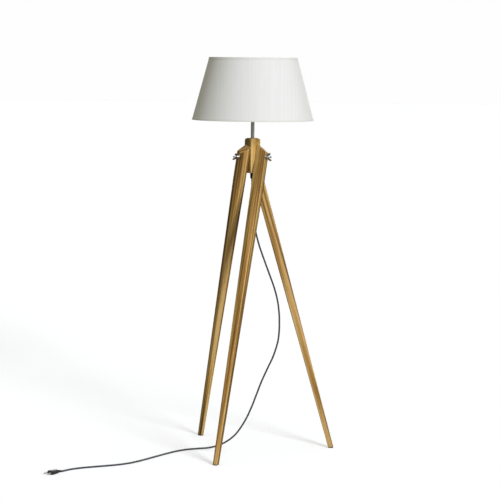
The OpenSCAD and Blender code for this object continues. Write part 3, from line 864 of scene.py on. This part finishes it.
def wing(side):
    """One flared wing: the outline round two circles, thinner towards its tip."""
    low = Vector((side * BOSS_D / 3, BOSS_H / 2))
    high = Vector((side * (WING_SPAN / 2 - TIP_R), WING_H - TIP_R))
    low_r, high_r = BOSS_H / 2 - ROOT_GAP, TIP_R
    lean = math.atan2(high.y - low.y, high.x - low.x)
    spread = math.acos((low_r - high_r) / (high - low).length)
    outline = []
    for centre, radius, first, sweep in ((high, high_r, lean - spread, 2 * spread),
                                         (low, low_r, lean + spread, 2 * math.pi - 2 * spread)):
        for k in range(13):
            t = first + sweep * k / 12
            outline.append(centre + radius * Vector((math.cos(t), math.sin(t))))
    return skin("wing", [[(p.x, y, p.y) for p in outline] for y in (-WING_T / 2, WING_T / 2)])


def wing_nut(name, turn):
    """A cast wing nut on its bolt, turned so many degrees."""
    hole = BOLT_D / 2 + RUN_FIT
    boss = turned("boss", [(hole, 0), (BOSS_D / 2, 0), (BOSS_D / 2 - BOSS_TAPER, BOSS_H), (hole, BOSS_H)],
                  around=48, soft=0.0005)
    nut = joined(name, boss, wing(1), wing(-1))
    remesh = nut.modifiers.new("Cast", "REMESH")
    remesh.mode = "VOXEL"
    remesh.voxel_size = VOXEL
    soften = nut.modifiers.new("Soften", "SMOOTH")
    soften.factor = 0.5
    soften.iterations = 5
    applied(nut)
    cut(nut, bore_along(UPRIGHT, -BORE_PAST, WING_H + BORE_PAST, hole))
    nut.data.transform(Matrix.Translation((0, 0, nut_face)) @ Matrix.Rotation(math.radians(turn), 4, "Z"))
    return smoothed(nut, 50)


for side, turn in NUT_TURNS.items():
    nut = wing_nut(f"wing_nut_{side}_casting", turn)
    nut.data.transform(LEGS[f"leg_{side}"] @ ALONG_BOLT)
    settle(nut, f"wing_nut_{side}", cast_nickel, [f"wing_nut_{side}"])

# %% [markdown]
# ## Stem, rod, gland and inner cable
# The stem is a nickel tube over a threaded rod. The rod holds the hub to the lampholder, and the cable
# runs inside it. Under the hub a black gland grips the cord: a ribbed collar to turn it by, which closes
# in on the cord at its lower end.

# %% Stem and rod
stem_low, stem_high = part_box("stem_tube")
stem = turned("stem", [(ROD_D / 2 + FIT, stem_low.z), (STEM_D / 2, stem_low.z), (STEM_D / 2, stem_high.z),
                       (ROD_D / 2 + FIT, stem_high.z)], soft=0.0005)
settle(stem, "stand", nickel, ["stem_tube"])
rod_low, rod_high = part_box("threaded_rod")
ROD_BORE_R = 0.0035
ROD_PITCH, ROD_DEPTH = 0.001, 0.0005
rod = threaded("hollow_rod", zinc, ROD_D / 2, ROD_BORE_R, rod_low.z, rod_high.z - rod_low.z, ROD_PITCH,
               ROD_DEPTH, around=32, per_turn=5)
settle(rod, "stand", zinc, ["threaded_rod"])

# %% [markdown]
# Grip ribs repeat round a collar, so Geometry Nodes set them out: points on a circle, a slim rod
# instanced on each, and the instances made real.

# %% Tree that sets ribs round a collar
rib_tree, given = new_tree("ribs", Radius="number", Count="whole", Rib_radius="number", Height="number",
                           Low="number")
points = add(rib_tree, "GeometryNodeMeshCircle", {"Vertices": given["Count"], "Radius": given["Radius"]})
rib = add(rib_tree, "GeometryNodeMeshCylinder",
          {"Vertices": 8, "Radius": given["Rib radius"], "Depth": given["Height"]})
spread = add(rib_tree, "GeometryNodeInstanceOnPoints",
             {"Points": points.outputs[0], "Instance": rib.outputs["Mesh"]})
middle = calc(rib_tree, "MULTIPLY_ADD", given["Height"], 0.5, given["Low"])
lift = add(rib_tree, "ShaderNodeCombineXYZ", {"Z": middle})
raised = add(rib_tree, "GeometryNodeTransform",
             {"Geometry": spread.outputs[0], "Translation": lift.outputs[0]})
end_tree(rib_tree, raised.outputs[0], given["Finish"])


# %% Finishes: plastics
def moulded(name, colour, rough, grain=0.00003):
    """A moulded plastic: a very fine grain from the tool, and a little unevenness in gloss."""
    finish, tree, shader = new_finish(name)
    clouds = noise(tree, place_of(tree, 90), detail=3)
    fine = noise(tree, place_of(tree, 2500), detail=2)
    dark = [c * 0.9 for c in colour]
    feed(shader, Base_Color=ramp(tree, clouds, (0.35, *dark), (0.65, *colour)),
         Roughness=between(tree, clouds, rough * 0.8, rough * 1.2))
    relief(tree, shader, fine, grain, 0.6)
    return finish


black = moulded("black_plastic", (0.009, 0.009, 0.010), 0.55)
sheath = moulded("cable_sheath", (0.08, 0.08, 0.08), 0.6)
white = moulded("white_plastic", (0.80, 0.79, 0.76), 0.35)
plug_black = moulded("plug_plastic", (0.03, 0.03, 0.032), 0.55, 0.00008)
porcelain = moulded("glazed_porcelain", (0.84, 0.82, 0.76), 0.12)

# %% Gland and inner cable
gland_low, gland_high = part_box("cord_gland")
gland_r = (gland_high.x - gland_low.x) / 2
COLLAR_H = 0.0185
GRIP_PROUD = 0.0005
GRIP_END = 0.0008
SQUEEZE = 0.0002
cord_r = CORD_D / 2
collar_low = gland_high.z - COLLAR_H
collar_r = gland_r - GRIP_PROUD
cord_hole = cord_r - SQUEEZE
gland = turned("gland", [
    (ROD_D / 2 + FIT, gland_high.z), (collar_r, gland_high.z), (collar_r, collar_low),
    (collar_r - 0.0011, collar_low - 0.0014), (cord_r + 0.0018, gland_low.z), (cord_hole, gland_low.z),
    (cord_hole, collar_low), (ROD_D / 2 + FIT, collar_low)], soft=0.0005)
gland_ribs = grown("gland_ribs", rib_tree, black, Radius=collar_r - 0.0001, Count=28, Rib_radius=GRIP_PROUD,
                   Height=COLLAR_H - 2 * GRIP_END, Low=collar_low + GRIP_END)
gland = joined("cord_relief", gland, gland_ribs)
settle(gland, "stand", black, ["cord_gland"])
finished(frame["nodes"]["inner_cable"], sheath)

# %% [markdown]
# ## Lampholder
# The holder's base cup screws on to the rod and holds the terminals. A porcelain disc carries the
# contacts, a brass sleeve takes the bulb, and an outer mantle with a coarse thread carries the two rings
# that clamp the shade's fitter. A rocker in the cup's front is the lamp's switch.

# %% Base cup, disc and contacts
holder_low, holder_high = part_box("holder_base")
HOLDER_R = (holder_high.x - holder_low.x) / 2
CONE_H = 0.008
insert_low, insert_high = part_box("holder_insert")
insert_r = (insert_high.x - insert_low.x) / 2
ROD_GRIP = 0.012
CHAMBER_R = 0.0105
cup = turned("base_cup", [
    (ROD_D / 2 + FIT, holder_low.z), (STEM_D / 2 + 0.002, holder_low.z), (HOLDER_R, holder_low.z + CONE_H),
    (HOLDER_R, holder_high.z), (insert_r + FIT, holder_high.z), (insert_r + FIT, insert_low.z),
    (CHAMBER_R, insert_low.z), (CHAMBER_R, holder_low.z + ROD_GRIP),
    (ROD_D / 2 + FIT, holder_low.z + ROD_GRIP)], soft=0.0009)
POCKET_W, POCKET_H, POCKET_D, POCKET_PAST = 0.0092, 0.0155, 0.0052, 0.01
rocker_joint = next(j for j in frame["joints"] if j["child"] == "rocker")
pin = Vector(rocker_joint["pos_m"])
pocket = skin("pocket", [[
    (x, y, pin.z + z) for x, z in ((-POCKET_W / 2, -POCKET_H / 2), (POCKET_W / 2, -POCKET_H / 2),
                                   (POCKET_W / 2, POCKET_H / 2), (-POCKET_W / 2, POCKET_H / 2))]
    for y in (pin.y - POCKET_PAST, pin.y + POCKET_D)])
cut(cup, pocket)
CUP_RIB_R, CUP_RIB_H, CUP_RIB_DROP, CUP_RIB_SUNK = 0.0006, 0.0045, 0.0052, 0.0002
cup_ribs = grown("cup_ribs", rib_tree, white, Radius=HOLDER_R - CUP_RIB_SUNK, Count=60,
                 Rib_radius=CUP_RIB_R, Height=CUP_RIB_H, Low=holder_high.z - CUP_RIB_DROP)
cup = joined("base_cup_ribbed", cup, cup_ribs)
settle(cup, "stand", white, ["holder_base"])
KEY_ROUND = 0.0005
settle(bevelled("rocker_key", "switch_rocker", KEY_ROUND), "rocker", white,
       ["switch_rocker"])
disc = turned("porcelain_disc", [(0, insert_low.z), (insert_r, insert_low.z), (insert_r, insert_high.z),
                                 (0, insert_high.z)], soft=0.0008, solid=True)
settle(disc, "stand", porcelain, ["holder_insert"])
for node in ("centre_contact", "screw_sleeve"):
    finished(frame["nodes"][node], brass)

# %% Mantle and shade rings
mantle_low, mantle_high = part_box("holder_mantle")
mantle_r = (mantle_high.x - mantle_low.x) / 2
MANTLE_PITCH, MANTLE_DEPTH = 0.004, 0.0011
GRIP_R, GRIP_OUT, GRIP_SHORT = 0.0009, 0.0006, 0.0007
mantle = threaded("mantle", white, mantle_r, insert_r + FIT, mantle_low.z, mantle_high.z - mantle_low.z,
                  MANTLE_PITCH, MANTLE_DEPTH, around=72, per_turn=12)
settle(mantle, "stand", white, ["holder_mantle"])
for node in ("shade_ring_lower", "shade_ring_upper"):
    low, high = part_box(node)
    ring_r = (high.x - low.x) / 2
    body_r = ring_r - GRIP_OUT
    ring = turned("ring", [(mantle_r + FIT, low.z), (body_r, low.z), (body_r, high.z),
                           (mantle_r + FIT, high.z)], soft=0.0008)
    grips = grown("grips", rib_tree, white, Radius=ring_r - GRIP_R, Count=72, Rib_radius=GRIP_R,
                  Height=high.z - low.z - 2 * GRIP_SHORT, Low=low.z + GRIP_SHORT)
    settle(joined(node + "_ribbed", ring, grips), "stand", white, [node])

# %% [markdown]
# ## Shade frame
# Two wire rings hold the shade open. The lower one is carried by three spokes that meet in a flat ring,
# and that ring is clamped on the lampholder. Wire is round all along, so the rings are turned from a
# circle, and the spokes are swept along a bent path that ends against the lower wire.

# %% Sizes of the shade
shade_low, shade_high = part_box("shade_fabric")
SHADE_BOTTOM_R = shade_high.x
SHADE_H = shade_high.z - shade_low.z
SHADE_TOP_R = 0.163
WIRE_R = 0.002
SPOKE_R = 0.0016
slope = (SHADE_TOP_R - SHADE_BOTTOM_R) / SHADE_H
print("shade:", round(2 * SHADE_BOTTOM_R, 3), "m wide,", round(SHADE_H, 3), "m high")


def shade_radius(z):
    """Outer radius of the shade at a height."""
    return SHADE_BOTTOM_R + slope * (z - shade_low.z)


# %% Finish: powder coated wire
def powder_coat():
    finish, tree, shader = new_finish("white_powder_coat", Coat_Weight=0.3, Coat_Roughness=0.3)
    peel = noise(tree, place_of(tree, 1200), detail=2)
    feed(shader, Base_Color=ramp(tree, peel, (0.3, 0.74, 0.73, 0.70), (0.7, 0.84, 0.83, 0.80)),
         Roughness=between(tree, peel, 0.32, 0.48))
    relief(tree, shader, peel, 0.00006, 0.6)
    return finish


coat = powder_coat()

# %% Wire rings, fitter ring and spokes
wire_places = {}
for node in ("shade_wire_top", "shade_wire_bottom"):
    low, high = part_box(node)
    middle = Vector((high.x - WIRE_R, (low.z + high.z) / 2))
    wire_places[node] = middle
    outline = [middle + WIRE_R * Vector((math.cos(t), math.sin(t)))
               for t in [2 * math.pi * k / 12 for k in range(12)]]
    wire = turned(node + "_ring", outline, around=180, soft=0)
    settle(wire, "stand", coat, [node])
ring_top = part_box("shade_ring_lower")[1].z
FITTER_T = 0.0025
FITTER_R = 0.0315
FITTER_GAP = 0.0004
weld = wire_places["shade_wire_bottom"]
fitter_ring = turned("fitter_ring", [
    (mantle_r + FITTER_GAP, ring_top), (FITTER_R, ring_top), (FITTER_R, ring_top + FITTER_T),
    (mantle_r + FITTER_GAP, ring_top + FITTER_T)], soft=0.0004)
spoke_start = Vector((FITTER_R - 0.002, 0, ring_top + FITTER_T / 2))
spoke_end = Vector((weld.x - WIRE_R - FIT, 0, weld.y))
bend = spoke_start + Vector((0.006, 0, -0.0004))
spoke_path = smooth_route([spoke_start, bend, (bend + spoke_end) / 2, spoke_end], 6)
spokes = []
for angle in (30, 150, 270):
    turn = Matrix.Rotation(math.radians(angle), 4, "Z")
    spokes.append(wire_along("spoke", [turn @ p for p in spoke_path], coat, SPOKE_R))
fitter = joined("fitter_and_spokes", fitter_ring, *spokes)
settle(fitter, "stand", coat, ["shade_fitter"])

# %% [markdown]
# ## Shade
# The cover is an off-white slubby cloth laminated on a thin white film, rolled to a cone and lapped at
# the back. It is the lamp's main piece and its shape follows a rule, so Geometry Nodes make it: a grid is
# rolled up, its radius falls evenly with height, thicker yarns stand a few hundredths of a millimetre
# proud, and the lap adds about the cloth's thickness over its width.

# %% Tree that rolls a cone of cloth
LAP_TURN = 0.25
LAP_HALF = 0.0062
LAP_EDGE = 0.001
cone_tree, given = new_tree("cone", Bottom_radius="number", Top_radius="number", Low="number",
                            Height="number", Thickness="number", Slub="number", Lap="number",
                            Around="whole", Rows="whole")
maths = partial(calc, cone_tree)
grid, turn_share, row, last_row = grid_to_roll(cone_tree, given)
top_row = maths("SUBTRACT", maths("MULTIPLY", last_row, 0.5), 1)
outside = maths("ADD", maths("LESS_THAN", row, maths("ADD", top_row, 0.5)),
                maths("GREATER_THAN", row, maths("SUBTRACT", last_row, 0.5)))
down_row = maths("SUBTRACT", maths("SUBTRACT", last_row, 1), row)
up_row = maths("MAXIMUM", maths("MINIMUM", row, down_row), 0)
up_share = maths("DIVIDE", up_row, top_row)
angle = maths("MULTIPLY", turn_share, 2 * math.pi)
cosine = maths("COSINE", angle)
sine = maths("SINE", angle)
slub_place = add(cone_tree, "ShaderNodeCombineXYZ", {
    "X": maths("MULTIPLY", cosine, 30.0), "Y": maths("MULTIPLY", sine, 30.0),
    "Z": maths("MULTIPLY", up_share, 1.2)})
yarn = add(cone_tree, "ShaderNodeTexNoise",
           {"Vector": slub_place.outputs[0], "Scale": 3.0, "Detail": 3.0}).outputs[0]
proud = maths("MULTIPLY", maths("SUBTRACT", yarn, 0.5), given["Slub"])
from_lap = maths("ABSOLUTE", maths("SUBTRACT", turn_share, LAP_TURN))
lap = add(cone_tree, "ShaderNodeMapRange", {
    "Value": from_lap, "From Min": LAP_HALF, "From Max": LAP_HALF + LAP_EDGE, "To Min": 1.0, "To Max": 0.0})
stand_out = maths("ADD", proud, maths("MULTIPLY", lap.outputs[0], given["Lap"]))
taper = maths("SUBTRACT", given["Top radius"], given["Bottom radius"])
mean = maths("MULTIPLY_ADD", up_share, taper, given["Bottom radius"])
outer = maths("ADD", mean, stand_out)
inner = maths("SUBTRACT", mean, given["Thickness"])
reach = maths("ADD", inner, maths("MULTIPLY", outside, maths("SUBTRACT", outer, inner)))
spot = add(cone_tree, "ShaderNodeCombineXYZ", {
    "X": maths("MULTIPLY", reach, cosine), "Y": maths("MULTIPLY", reach, sine),
    "Z": maths("MULTIPLY_ADD", up_share, given["Height"], given["Low"])})
rolled = add(cone_tree, "GeometryNodeSetPosition", {"Geometry": grid, "Position": spot.outputs[0]})
cloth_place = add(cone_tree, "ShaderNodeCombineXYZ", {
    "X": maths("MULTIPLY", cosine, given["Bottom radius"]),
    "Y": maths("MULTIPLY", sine, given["Bottom radius"]),
    "Z": maths("MULTIPLY", up_share, given["Height"])})
kept = add(cone_tree, "GeometryNodeStoreNamedAttribute",
           {"Geometry": rolled.outputs[0], "Name": "cloth", "Value": cloth_place.outputs[0]},
           data_type="FLOAT_VECTOR", domain="POINT")
sealed = add(cone_tree, "GeometryNodeMergeByDistance", {"Geometry": kept.outputs[0], "Distance": MERGE})
end_tree(cone_tree, sealed.outputs[0], given["Finish"])
print("cone tree:", len(cone_tree.nodes), "nodes")


# %% Finishes: slubby cloth and white film
def slubby_cloth():
    finish, tree, shader = new_finish("slubby_cloth", Roughness=0.92, Sheen_Weight=0.15,
                                      Sheen_Roughness=0.4)
    warp = noise(tree, place_of(tree, (520, 520, 9), "cloth"), detail=3, rough=0.6)
    weft = noise(tree, place_of(tree, (40, 40, 900), "cloth"), detail=2)
    slubs = noise(tree, place_of(tree, (230, 230, 5), "cloth"), detail=3)
    weave = calc(tree, "MULTIPLY_ADD", warp, 0.6, calc(tree, "MULTIPLY", weft, 0.4))
    tone = calc(tree, "MULTIPLY_ADD", slubs, 0.5, calc(tree, "MULTIPLY", weave, 0.5))
    colour = ramp(tree, tone, (0.32, 0.770, 0.770, 0.755), (0.5, 0.815, 0.820, 0.815),
                  (0.68, 0.845, 0.850, 0.855))
    feed(shader, Base_Color=colour)
    relief(tree, shader, weave, 0.0003, 0.5)
    return finish


cloth_finish = slubby_cloth()
film = moulded("lining_film", (0.88, 0.88, 0.86), 0.4)

# %% Cover and lining
CLOTH_T = 0.0006
LINING_T = 0.0008
shade_sizes = dict(Top_radius=SHADE_TOP_R, Bottom_radius=SHADE_BOTTOM_R, Low=shade_low.z, Height=SHADE_H)
cover = grown("shade_cover", cone_tree, cloth_finish, Thickness=CLOTH_T, Slub=0.0001, Lap=0.0005,
              Around=480, Rows=49, **shade_sizes)
settle(cover, "stand", nodes=["shade_fabric"])
lining_sizes = dict(shade_sizes, Top_radius=SHADE_TOP_R - CLOTH_T - FIT,
                    Bottom_radius=SHADE_BOTTOM_R - CLOTH_T - FIT)
lining = grown("shade_lining", cone_tree, film, Thickness=LINING_T, Slub=0.0, Lap=0.0, Around=240, Rows=13,
               **lining_sizes)
settle(lining, "stand")

# %% [markdown]
# The cut edges of the cover are hidden by a tape folded over the rim, outside and inside. It is turned
# from an outline that follows the shade's slope.


# %% Finish: tape
def folded_tape():
    finish, tree, shader = new_finish("folded_tape", Roughness=0.9, Sheen_Weight=0.15, Sheen_Roughness=0.4)
    threads = noise(tree, place_of(tree, (300, 300, 1400)), detail=2)
    feed(shader, Base_Color=ramp(tree, threads, (0.3, 0.72, 0.715, 0.68), (0.7, 0.84, 0.84, 0.815)))
    relief(tree, shader, threads, 0.0002, 0.5)
    return finish


tape = folded_tape()

# %% Hems
HEM_T = 0.0005
HEM_GAP = 0.0001
for node in ("shade_hem_top", "shade_hem_bottom"):
    low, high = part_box(node)
    top = node.endswith("top")
    rim, free = (high.z, low.z) if top else (low.z, high.z)
    past = HEM_T if top else -HEM_T
    inside = CLOTH_T + LINING_T + 2 * HEM_GAP
    hem = turned(node + "_tape", [
        (shade_radius(free) + HEM_GAP, free), (shade_radius(free) + HEM_GAP + HEM_T, free),
        (shade_radius(rim) + HEM_T, rim), (shade_radius(rim), rim + past),
        (shade_radius(rim) - inside, rim + past), (shade_radius(rim) - inside - HEM_T, rim),
        (shade_radius(free) - inside - HEM_T, free), (shade_radius(free) - inside, free),
        (shade_radius(rim) - inside, rim), (shade_radius(rim) + HEM_GAP, rim)], around=240, soft=0.0002)
    settle(hem, "stand", tape, [node])

# %% [markdown]
# ## Bulb
# A clear filament bulb screws into the holder. Its cap is a rolled thread, its glass is a thin blown
# shell, and four coated sticks stand inside on a stem.

# %% Finishes: glass and filament
def clear_glass():
    finish, tree, shader = new_finish("clear_glass", Transmission_Weight=1.0, IOR=1.45)
    haze = noise(tree, place_of(tree, 25), detail=2)
    feed(shader, Base_Color=ramp(tree, haze, (0.3, 0.96, 0.97, 0.97), (0.7, 1.0, 1.0, 1.0)),
         Roughness=between(tree, haze, 0.0, 0.04))
    return finish


def phosphor():
    finish, tree, shader = new_finish("phosphor", Roughness=0.6)
    grains = noise(tree, place_of(tree, 1500), detail=3)
    feed(shader, Base_Color=ramp(tree, grains, (0.3, 0.80, 0.52, 0.12), (0.7, 0.95, 0.72, 0.28)))
    relief(tree, shader, grains, 0.0001)
    return finish


glass = clear_glass()
coating = phosphor()

# %% Bulb
CAP_END_H, CAP_WALL = 0.0045, 0.0016
CAP_PITCH, CAP_DEPTH = 0.0036, 0.0010
CAP_LAP = 0.0001
cap_low, cap_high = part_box("bulb_cap")
cap_r = (cap_high.x - cap_low.x) / 2
thread_low = cap_low.z + CAP_END_H
cap_thread = threaded("cap_thread", nickel, cap_r, cap_r - CAP_WALL, thread_low, cap_high.z - thread_low,
                      CAP_PITCH, CAP_DEPTH, around=64, per_turn=12)
cap_end = turned("cap_end", [(0, cap_low.z), (0.0045, cap_low.z), (0.006, cap_low.z + 0.001),
                             (cap_r - CAP_DEPTH, thread_low + CAP_LAP), (0, thread_low + CAP_LAP)],
                 soft=0.0005, solid=True)
bulb_cap = joined("bulb_screw_cap", cap_thread, cap_end)
settle(bulb_cap, "stand", nickel, ["bulb_cap"])
glass_low, glass_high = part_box("bulb_glass")
ball_r = (glass_high.x - glass_low.x) / 2
ball_z = glass_high.z - ball_r
GLASS_T = 0.0008
NECK_IN = 0.0012
neck_r = cap_r - NECK_IN
neck_h = ball_z - glass_low.z


def glass_outline(inset):
    """The bulb's outline from its neck to its tip."""
    neck = [(neck_r - inset + (ball_r - neck_r) * (1 - math.cos(math.pi * k / 12)) / 2,
             glass_low.z + neck_h * k / 12) for k in range(13)]
    ball = [((ball_r - inset) * math.cos(t), ball_z + (ball_r - inset) * math.sin(t))
            for t in [math.radians(7.5 * k) for k in range(1, 12)]]
    return neck + ball + [(0, ball_z + ball_r - inset)]


bulb = turned("bulb_envelope", glass_outline(0) + glass_outline(GLASS_T)[::-1], around=64, soft=0)
settle(bulb, "stand", glass, ["bulb_glass"])
STALK_R = 0.003
STICK_R = 0.0009
stalk_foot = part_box("bulb_filament")[0].z
stalk = turned("stalk", [(0, stalk_foot), (STALK_R, stalk_foot), (0.0022, ball_z - 0.018),
                         (STALK_R, ball_z - 0.006), (0, ball_z - 0.004)], around=32, solid=True)
sticks = []
for angle in (45, 135, 225, 315):
    turn = Matrix.Rotation(math.radians(angle), 4, "Z")
    foot = turn @ Vector((STALK_R, 0, ball_z - 0.021))
    tip = turn @ Vector((0.0095, 0, ball_z + 0.010))
    sticks.append(wire_along("stick", [foot, (foot + tip) / 2, tip], coating, STICK_R))
filament = joined("filament_sticks", stalk, *sticks)
settle(filament, "stand", coating, ["bulb_filament"])

# %% [markdown]
# ## Plug
# The cord ends in a flat two-pin plug. Its body and its pins are copies of the engineered ones with their
# edges rounded. The plug lies on the floor at the end of the cord's last stretch.

# %% Plug
PLUG_ROUND, PIN_ROUND = 0.0012, 0.0008
plug = bevelled("plug_moulding", "plug_body", PLUG_ROUND)
settle(plug, "stand", plug_black, ["plug_body"])
pins = bevelled("plug_contacts", "plug_pins", PIN_ROUND)
settle(pins, "stand", nickel, ["plug_pins"])

# %% [markdown]
# ## What is soft
# The cord and the cover are the lamp's soft pieces. The cover is cut flat as part of a ring: rolling a
# cone out flat gives a sector whose radii are the slant distances to the cone's tip.

# %% [markdown]
# ## Studio
# A white room with a wide pale floor. A soft low sun from the front right makes the shade's and the legs'
# bright sides. The sky is bright towards that side and dim behind the lamp's left, so that round and flat
# faces read. A weak sun from behind lights the shade's back and skips the floor, and a second soft sun
# lights the floor alone and draws the shadows at the feet. A panel on the right is there only to be
# mirrored in the metals. The floor throws no light back, so the wood keeps its
# dark sides, and it glows a little, so that it is white where no shadow falls.

# %% Floor
FLOOR_HALF = 60
FLOOR_T = 0.02
corners = [(-FLOOR_HALF, -FLOOR_HALF), (FLOOR_HALF, -FLOOR_HALF), (FLOOR_HALF, FLOOR_HALF),
           (-FLOOR_HALF, FLOOR_HALF)]
floor = skin("floor", [[(x, y, z) for x, y in corners] for z in (-FLOOR_T, 0)])
floor_finish = new_finish("pale_floor", Base_Color=(0.88, 0.90, 0.98, 1), Roughness=0.9,
                          Emission_Strength=0.33, Emission_Color=(1, 1, 1, 1))[0]
floor.data.materials.append(floor_finish)
floor.visible_diffuse = False
floor.visible_glossy = False

# %% Light
LIGHT_SIDE = math.radians(30)
LIGHT_HEIGHT = math.radians(19)
SUN_FROM = Vector((math.sin(LIGHT_SIDE) * math.cos(LIGHT_HEIGHT),
                   -math.cos(LIGHT_SIDE) * math.cos(LIGHT_HEIGHT), math.sin(LIGHT_HEIGHT)))
BACK_FROM = Vector((0.15, 0.80, 0.45))


def sun_lamp(name, comes_from, energy, spread, floor_rule=None):
    """A soft sun. floor_rule is INCLUDE where it lights only the floor, EXCLUDE where all but it."""
    lamp = placed(name, bpy.data.lights.new(name, "SUN"))
    lamp.data.energy = energy
    lamp.data.angle = math.radians(spread)
    lamp.rotation_euler = comes_from.to_track_quat("Z", "Y").to_euler()
    if floor_rule:
        linked = bpy.data.collections.new(name + "_floor")
        linked.objects.link(floor)
        linked.collection_objects[0].light_linking.link_state = floor_rule
        lamp.light_linking.receiver_collection = linked


sun_lamp("sun", SUN_FROM, 2.2, 17)
sun_lamp("floor_sun", SUN_FROM, 0.9, 22, "INCLUDE")
sun_lamp("back_light", BACK_FROM, 1.3, 30, "EXCLUDE")

SCREEN_SIDE = math.radians(75)
SCREEN_AWAY, SCREEN_W, SCREEN_H = 2.5, 3.2, 1.6
SCREEN_MIDDLE = Vector((0, 0, 1.2))
screen = placed("screen", bpy.data.lights.new("screen", "AREA"))
screen.data.shape = "RECTANGLE"
screen.data.size = SCREEN_W
screen.data.size_y = SCREEN_H
screen.data.energy = 4
screen.visible_diffuse = False
screen.visible_camera = False
away = SCREEN_AWAY * Vector((math.sin(SCREEN_SIDE), -math.cos(SCREEN_SIDE), 0))
screen.location = SCREEN_MIDDLE + away
screen.rotation_euler = (-away).to_track_quat("-Z", "Y").to_euler()

# %% Sky
BRIGHT_SIDE = (0.50, -0.80, 0.30)
SKY_LOW, SKY_HIGH = 0.02, 0.54
BACKDROP = 0.99
world = bpy.data.worlds.new("room")
bpy.context.scene.world = world
world.use_nodes = True
room = world.node_tree
room.nodes.clear()
looking = add(room, "ShaderNodeTexCoord").outputs["Generated"]
upwards = add(room, "ShaderNodeSeparateXYZ", {"Vector": looking}).outputs["Z"]
glow = add(room, "ShaderNodeMapRange", {"Value": upwards, "From Min": -1.0, "From Max": 1.0,
                                        "To Min": SKY_LOW, "To Max": SKY_HIGH})
towards = add(room, "ShaderNodeVectorMath", {0: looking, 1: BRIGHT_SIDE}, operation="DOT_PRODUCT")
bright = calc(room, "MULTIPLY_ADD", towards.outputs["Value"], 0.5, 0.5)
tint = ramp(room, bright, (0.2, 1.0, 0.96, 0.52), (0.7, 1.0, 1.0, 1.0))
strength = calc(room, "MULTIPLY", glow.outputs[0], between(room, bright, 0.74, 1.18))
soft_light = add(room, "ShaderNodeBackground", {"Color": tint, "Strength": strength})
backdrop = add(room, "ShaderNodeBackground", {"Color": (1, 1, 1, 1), "Strength": BACKDROP})
seen = add(room, "ShaderNodeLightPath").outputs["Is Camera Ray"]
mixed = add(room, "ShaderNodeMixShader", {0: seen, 1: soft_light.outputs[0], 2: backdrop.outputs[0]})
add(room, "ShaderNodeOutputWorld", {"Surface": mixed.outputs[0]})
bpy.context.scene.view_settings.view_transform = "Standard"
